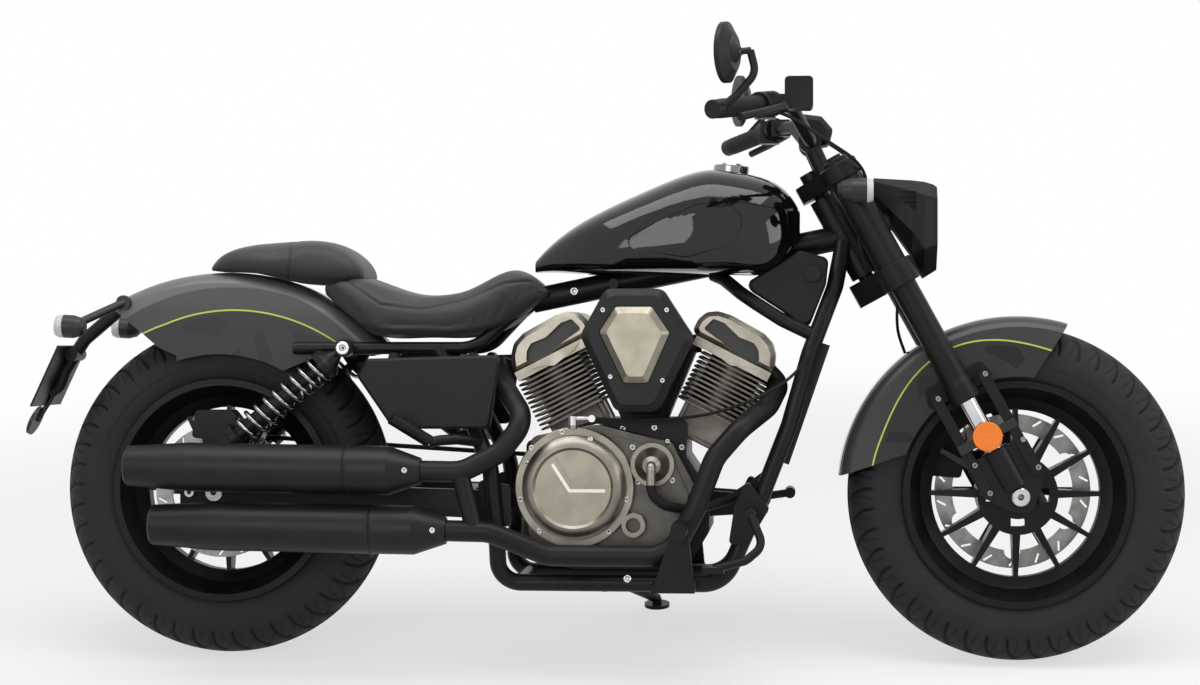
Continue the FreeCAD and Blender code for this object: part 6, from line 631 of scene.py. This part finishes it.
# Engine: a V-twin of finned barrels on one black case, with heads, rocker covers and side covers in warm cast
# grey. The covers are held by dome-headed bolts, and pockets in the rocker covers are painted black.
def fin_look(place):
    cloud = place.noise(40, 4, 0.6).soft(0.3, 0.7)
    grain = place.noise(1.2, 3, 0.6)
    return {"Base Color": cloud.mix(grey(0.085, 0.07), grey(0.135, 0.07)), "Normal": grain.bump(0.00005),
            "Roughness": 0.42 + (grain - 0.5) * 0.2}


fin_grey = finish("cast_fin_grey", {"Metallic": 0.85}, fin_look)
dress(fin_grey, "cylinders")
dress(cast_grey, "cylinder_heads")


def rocker_look(place):
    cloud = place.noise(38, 4, 0.6).soft(0.35, 0.75)
    grain = place.noise(1.3, 3, 0.6)
    sideways = facing_along(place, (0, 1, 0)).math("ABSOLUTE")
    pocket = sideways.soft(0.9, 0.97) * (1 - place.axis("Y").math("ABSOLUTE").soft(91, 94))
    bare = cloud.mix(grey(0.30, 0.08), grey(0.22, 0.09))
    return {"Base Color": pocket.mix(bare, grey(0.012)), "Metallic": 1 - pocket,
            "Roughness": 0.34 + (grain - 0.5) * 0.14 + pocket * 0.1, "Normal": grain.bump(0.00004)}


dress(finish("rocker_cover_alloy", {}, rocker_look), "rocker_covers")


def block(size):
    """A block centred on the origin, ready to be shaped."""
    bpy.ops.object.select_all(action="DESELECT")
    bpy.ops.mesh.primitive_cube_add(size=1)
    piece = bpy.context.object
    piece.scale = size
    bpy.ops.object.transform_apply(scale=True)
    return piece


# Barrel skirts stand in the case mouths, and a cast inlet fills the valley between the cylinders and feeds both
# from behind the air cleaner. Both are cast alloy with a ribbed recess in each side.
CRANK = (820, 0, 215)
CYLINDER_LEAN = math.radians(27)
SKIRT_UP = 262
INLET_PLACE = (820, 0, 532)
skirt = block((112, 132, 72))
choose(skirt, lambda face: abs(face.normal.z) < 0.1)
bpy.ops.mesh.inset(thickness=9, use_individual=True)
bpy.ops.mesh.extrude_region_shrink_fatten(TRANSFORM_OT_shrink_fatten={"value": -3.5})
apply(skirt, "BEVEL", width=2.5, segments=3, limit_method="ANGLE", angle_limit=0.9)
copies(skirt, [Matrix.Translation(CRANK) @ Matrix.Rotation(side * CYLINDER_LEAN, 4, "Y")
               @ Matrix.Translation((0, 0, SKIRT_UP)) for side in (-1, 1)],
       "barrel_skirts", fin_grey, "chassis", None)
inlet = block((84, 96, 150))
choose(inlet, lambda face: face.normal.z > 0.9)
bpy.ops.transform.resize(value=(2.5, 1, 1), center_override=(0, 0, 75))
bpy.ops.mesh.inset(thickness=7)
bpy.ops.mesh.extrude_region_move(TRANSFORM_OT_translate={"value": (0, 0, -5)})
choose(inlet, lambda face: abs(face.normal.y) > 0.9)
for step in (8, 7, 7):
    bpy.ops.mesh.inset(thickness=step, use_individual=True)
    bpy.ops.mesh.extrude_region_shrink_fatten(TRANSFORM_OT_shrink_fatten={"value": 4 if step == 7 else -3})
apply(inlet, "BEVEL", width=2.0, segments=3, limit_method="ANGLE", angle_limit=0.9)
copies(inlet, [Matrix.Translation(INLET_PLACE)], "inlet_casting", matte_black, "chassis", None)
dress(coated("black_case_paint", 0.010, 0.42, grain=1.2, relief=0.00005), "crankcase", "left_engine_covers")


CLUTCH_X = 696
CLUTCH_Z = 336
CLUTCH_DISC_RADIUS = 70
ANGLE_X = 689
ANGLE_Z = 331


def cover_look(place):
    """The right covers: base plate, polished clutch rim, a polished angle on its disc brightened with a painted
    highlight, and the parts above.
    """
    x = place.axis("X")
    y = place.axis("Y")
    z = place.axis("Z")
    cloud = place.noise(45, 4, 0.6).soft(0.3, 0.7)
    grain = place.noise(1.1, 3, 0.6)
    outer = 1 - y.soft(-162, -150)
    base_grey = cloud.mix(grey(0.060, 0.05), grey(0.085, 0.05))
    colour = outer.mix(base_grey, cloud.mix(grey(0.19, 0.08), grey(0.25, 0.08)))
    from_middle = ((x - CLUTCH_X) * (x - CLUTCH_X) + (z - CLUTCH_Z) * (z - CLUTCH_Z)).math("SQRT")
    disc = 1 - from_middle.soft(CLUTCH_DISC_RADIUS, CLUTCH_DISC_RADIUS + 1.5)
    colour = disc.mix(colour, cloud.mix(grey(0.21, 0.10), grey(0.26, 0.10)))
    # The angle along the step on the disc is polished, and its bright colour is a painted highlight.
    rising = (z - ANGLE_Z) * 0.84 - (x - ANGLE_X) * 0.543
    beside = (x - ANGLE_X) * 0.84 + (z - ANGLE_Z) * 0.543
    level = (z - ANGLE_Z).math("ABSOLUTE")
    painted_step_highlight = (1 - beside.math("ABSOLUTE").soft(2.6, 3.4)) * rising.soft(-3, -1) * (1 - rising.soft(58, 60))
    level_highlight_arm = (1 - level.soft(2.6, 3.4)) * (x - ANGLE_X).soft(-1, 1) * (1 - (x - ANGLE_X).soft(66, 68))
    painted_step_highlight = painted_step_highlight.math("MAXIMUM", level_highlight_arm)
    colour = painted_step_highlight.mix(colour, grey(0.62, 0.06))
    colour = z.soft(452, 454).mix(colour, grey(0.55))
    colour = z.soft(478, 480).mix(colour, cloud.mix(grey(0.22, 0.10), grey(0.29, 0.10)))
    return {"Base Color": colour, "Roughness": 0.36 + (grain - 0.5) * 0.14 - painted_step_highlight * 0.1,
            "Normal": grain.bump(0.00004)}


dress(finish("cast_cover_grey", {"Metallic": 1.0}, cover_look), "right_engine_covers")
bolts("cover_bolts", "chassis", "right_engine_covers", 5.6, [
    (673, 440), (728, 427), (615, 410), (606, 380), (595, 313), (794, 314), (630, 253), (761, 253), (805, 411),
    (870, 421), (815, 346), (880, 349)])
bolts("case_bolts", "chassis", "crankcase", 5.6, [(784, 445), (844, 447), (896, 410)])
bolts("case_bolts_left", "chassis", "crankcase", 5.6, [(784, 445), (844, 447), (896, 410), (728, 427)], side=1)
GENERATOR_X = 820
GENERATOR_Z = 300
GENERATOR_BOLTS_RADIUS = 78
bolts("left_cover_bolts", "chassis", "left_engine_covers", 5.6, [
    (GENERATOR_X + GENERATOR_BOLTS_RADIUS * math.cos(math.radians(turn)),
     GENERATOR_Z + GENERATOR_BOLTS_RADIUS * math.sin(math.radians(turn)))
    for turn in range(20, 380, 45)], side=1)
bolts("air_cleaner_screws", "chassis", "air_cleaner", 4.4, [(754, 669), (873, 669), (768, 545), (865, 538)])
bolts("shock_eye_rings", "chassis", "frame", 13.0, [(256, 598)], bright_chrome, socket=0.55)
bolts("shock_eye_rings_left", "chassis", "frame", 13.0, [(256, 598)], bright_chrome, side=1, socket=0.55)
bolts("silencer_bolts", "chassis", "silencers", 5.5, [(439, 260), (387, 371)])


# Air cleaner, exhaust, radiator, springs, tank and trim round the engine: black castings and mouldings, matt
# heatproof paint on the silencers with a dark seam at each nose, a finned core and smoked chrome springs.
def air_look(place):
    cloud = place.noise(50, 4).soft(0.3, 0.7)
    fine = place.noise(1.0, 3, 0.6)
    return {"Base Color": cloud.mix(grey(0.010), grey(0.014)), "Roughness": 0.40 + (fine - 0.5) * 0.12,
            "Normal": fine.bump(0.00003)}


dress(finish("air_cleaner_ring", {"Specular IOR Level": 0.2}, air_look), "air_cleaner")
dress(hard_plastic, "side_covers")
dress(soft_rubber, "coolant_hose")


def silencer_look(place):
    x = place.axis("X")
    seam_at = 321 - place.axis("Z").soft(316, 318) * 48
    seam = 1 - (x - seam_at).math("ABSOLUTE").soft(0.8, 1.5)
    cloud = place.noise(90, 3).soft(0.3, 0.7)
    grain = place.noise(0.9, 2)
    return {"Base Color": seam.mix(cloud.mix(grey(0.0085), grey(0.0115)), grey(0.001)),
            "Roughness": 0.38 + cloud * 0.06 + (grain - 0.5) * 0.1,
            "Normal": (grain * 0.00003 - seam * 0.0008).bump(1.0)}


dress(matte_black, "exhaust_pipes")
dress(finish("heatproof_silencer_black", {"Specular IOR Level": 0.2}, silencer_look), "silencers")
dress(satin_black, "rear_shocks")
dress(smoke_chrome, "shock_springs")


def core_look(place):
    aside = place.axis("Y").math("ABSOLUTE")
    core = 1 - aside.soft(65, 66)
    upright_fins = (place.axis("Y") * 2.1).math("SINE").soft(-0.3, 0.5)
    fin_relief_and_highlight = upright_fins * (place.axis("Z") * 0.63).math("SINE").soft(-0.9, -0.6)
    dust = place.noise(40, 4).soft(0.3, 0.7)
    # The fin lines are painted lighter than the gaps: a painted highlight on the fin edges and painted shade
    # between them, over the fins' relief.
    return {"Base Color": (core * fin_relief_and_highlight).mix(dust.mix(grey(0.008), grey(0.012)), grey(0.03)),
            "Roughness": 0.5 + dust * 0.1, "Normal": (fin_relief_and_highlight * core * 0.001).bump(1.0)}


dress(finish("radiator_core", {"Specular IOR Level": 0.25}, core_look), "radiator")
dress(gloss_black, "fuel_tank")
dress(smoke_chrome, "fuel_cap")


# Seats: moulded foam under grained black vinyl, stitched along a welt round the rider's seat and across the
# passenger's. Each is the solid's shape, blown up inside its cover, which is held at the base.
CUSHION_VOXEL = 0.006
SEAM_DEPTH = 0.0028
SEAM_HALF = 3.0


def vinyl_look(place):
    cloud = place.noise(70, 3).soft(0.3, 0.7)
    grain = place.node("TexVoronoi", {"feature": "SMOOTH_F1"}, {"Vector": place, "Scale": 0.7})
    facing = place.node("NewGeometry", {}, {}, "Normal").axis("Z").soft(0.15, 0.75)
    seam = place.node("Attribute", {"attribute_name": "seam"}, {}, "Fac").soft(0.5, 1.0)
    # Faces turned up are painted lighter than the sides: a painted sheen from the light above.
    colour = facing.mix(cloud.mix(grey(0.013), grey(0.017)), cloud.mix(grey(0.028), grey(0.035)))
    return {"Base Color": seam.mix(colour, grey(0.004)), "Roughness": 0.46 + grain * 0.12,
            "Normal": grain.bump(0.00012)}


vinyl = finish("black_vinyl", {"Sheen Weight": 0.1, "Sheen Roughness": 0.5, "Specular IOR Level": 0.25},
               vinyl_look)


def cushion(name, node, cap, seam):
    """A foam pad under its cover, swollen by no more than the cap, with the cover pulled in along a seam."""
    bpy.ops.object.select_all(action="DESELECT")
    piece = bpy.data.objects.new(name, nodes[node].data.copy())
    bpy.context.collection.objects.link(piece)
    bpy.context.view_layer.objects.active = piece
    piece.select_set(True)
    bpy.ops.object.mode_set(mode="EDIT")
    bpy.ops.mesh.select_all(action="SELECT")
    bpy.ops.mesh.remove_doubles(threshold=0.00002)
    bpy.ops.object.mode_set(mode="OBJECT")
    piece.data.remesh_voxel_size = CUSHION_VOXEL
    bpy.ops.object.voxel_remesh()
    bpy.ops.object.mode_set(mode="EDIT")
    bpy.ops.mesh.select_all(action="SELECT")
    bpy.ops.mesh.vertices_smooth(factor=0.5, repeat=3)
    bpy.ops.transform.shrink_fatten(value=-0.002)
    bpy.ops.object.mode_set(mode="OBJECT")
    count = len(piece.data.vertices)
    start = np.zeros(count * 3)
    piece.data.vertices.foreach_get("co", start)
    start = start.reshape(-1, 3)
    normals = np.zeros(count * 3)
    piece.data.vertices.foreach_get("normal", normals)
    down = normals.reshape(-1, 3) @ np.array(leaned.to_3x3() @ Vector((0, 0, 1)))
    held = piece.vertex_groups.new(name="held")
    held.add([int(i) for i in np.nonzero(down < -0.55)[0]], 1.0, "ADD")
    cloth = piece.modifiers.new("cover", "CLOTH")
    cloth.settings.quality = 4
    cloth.settings.use_pressure = True
    cloth.settings.uniform_pressure_force = 4
    cloth.settings.effector_weights.gravity = 0
    cloth.settings.vertex_group_mass = "held"
    for step in range(1, 21):
        bpy.context.scene.frame_set(step)
    swollen = piece.evaluated_get(bpy.context.evaluated_depsgraph_get()).to_mesh()
    moved = np.zeros(count * 3)
    swollen.vertices.foreach_get("co", moved)
    piece.modifiers.remove(cloth)
    bpy.context.scene.frame_set(1)
    move = moved.reshape(-1, 3) - start
    size = np.maximum(np.linalg.norm(move, axis=1, keepdims=True), 1e-9)
    start = start + move * np.minimum(1, cap / size)
    piece.data.vertices.foreach_set("co", start.ravel())
    piece.vertex_groups.clear()
    apply(piece, "SUBSURF", levels=1, render_levels=1)
    count = len(piece.data.vertices)
    co = np.zeros(count * 3)
    piece.data.vertices.foreach_get("co", co)
    normals = np.zeros(count * 3)
    piece.data.vertices.foreach_get("normal", normals)
    co = co.reshape(-1, 3)
    upright = np.array([to_upright @ Vector(point) for point in co])
    pull = np.exp(-(seam(upright) / SEAM_HALF) ** 2)
    co = co - normals.reshape(-1, 3) * (pull * SEAM_DEPTH)[:, None]
    piece.data.vertices.foreach_set("co", co.ravel())
    piece.data.attributes.new("seam", "FLOAT", "POINT").data.foreach_set("value", pull)
    bpy.ops.object.shade_smooth()
    piece.data.materials.clear()
    piece.data.materials.append(vinyl)
    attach(piece, "chassis")
    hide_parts(node)


def rider_edge(at):
    """Distance from the welt that runs round the rider's seat between its top and its sides."""
    welt = np.interp(at[:, 0], [205, 255, 320, 398, 475, 553, 600, 640],
                     [735, 728, 682, 674, 690, 722, 728, 715])
    return np.where(np.abs(at[:, 1]) > 60, at[:, 2] - welt, 99)


PILLION_SEAM_X = 139
SWELLING = 0.006
cushion("rider_cushion", "rider_seat", SWELLING, rider_edge)
cushion("pillion_cushion", "passenger_seat", SWELLING, lambda at: at[:, 0] - PILLION_SEAM_X)
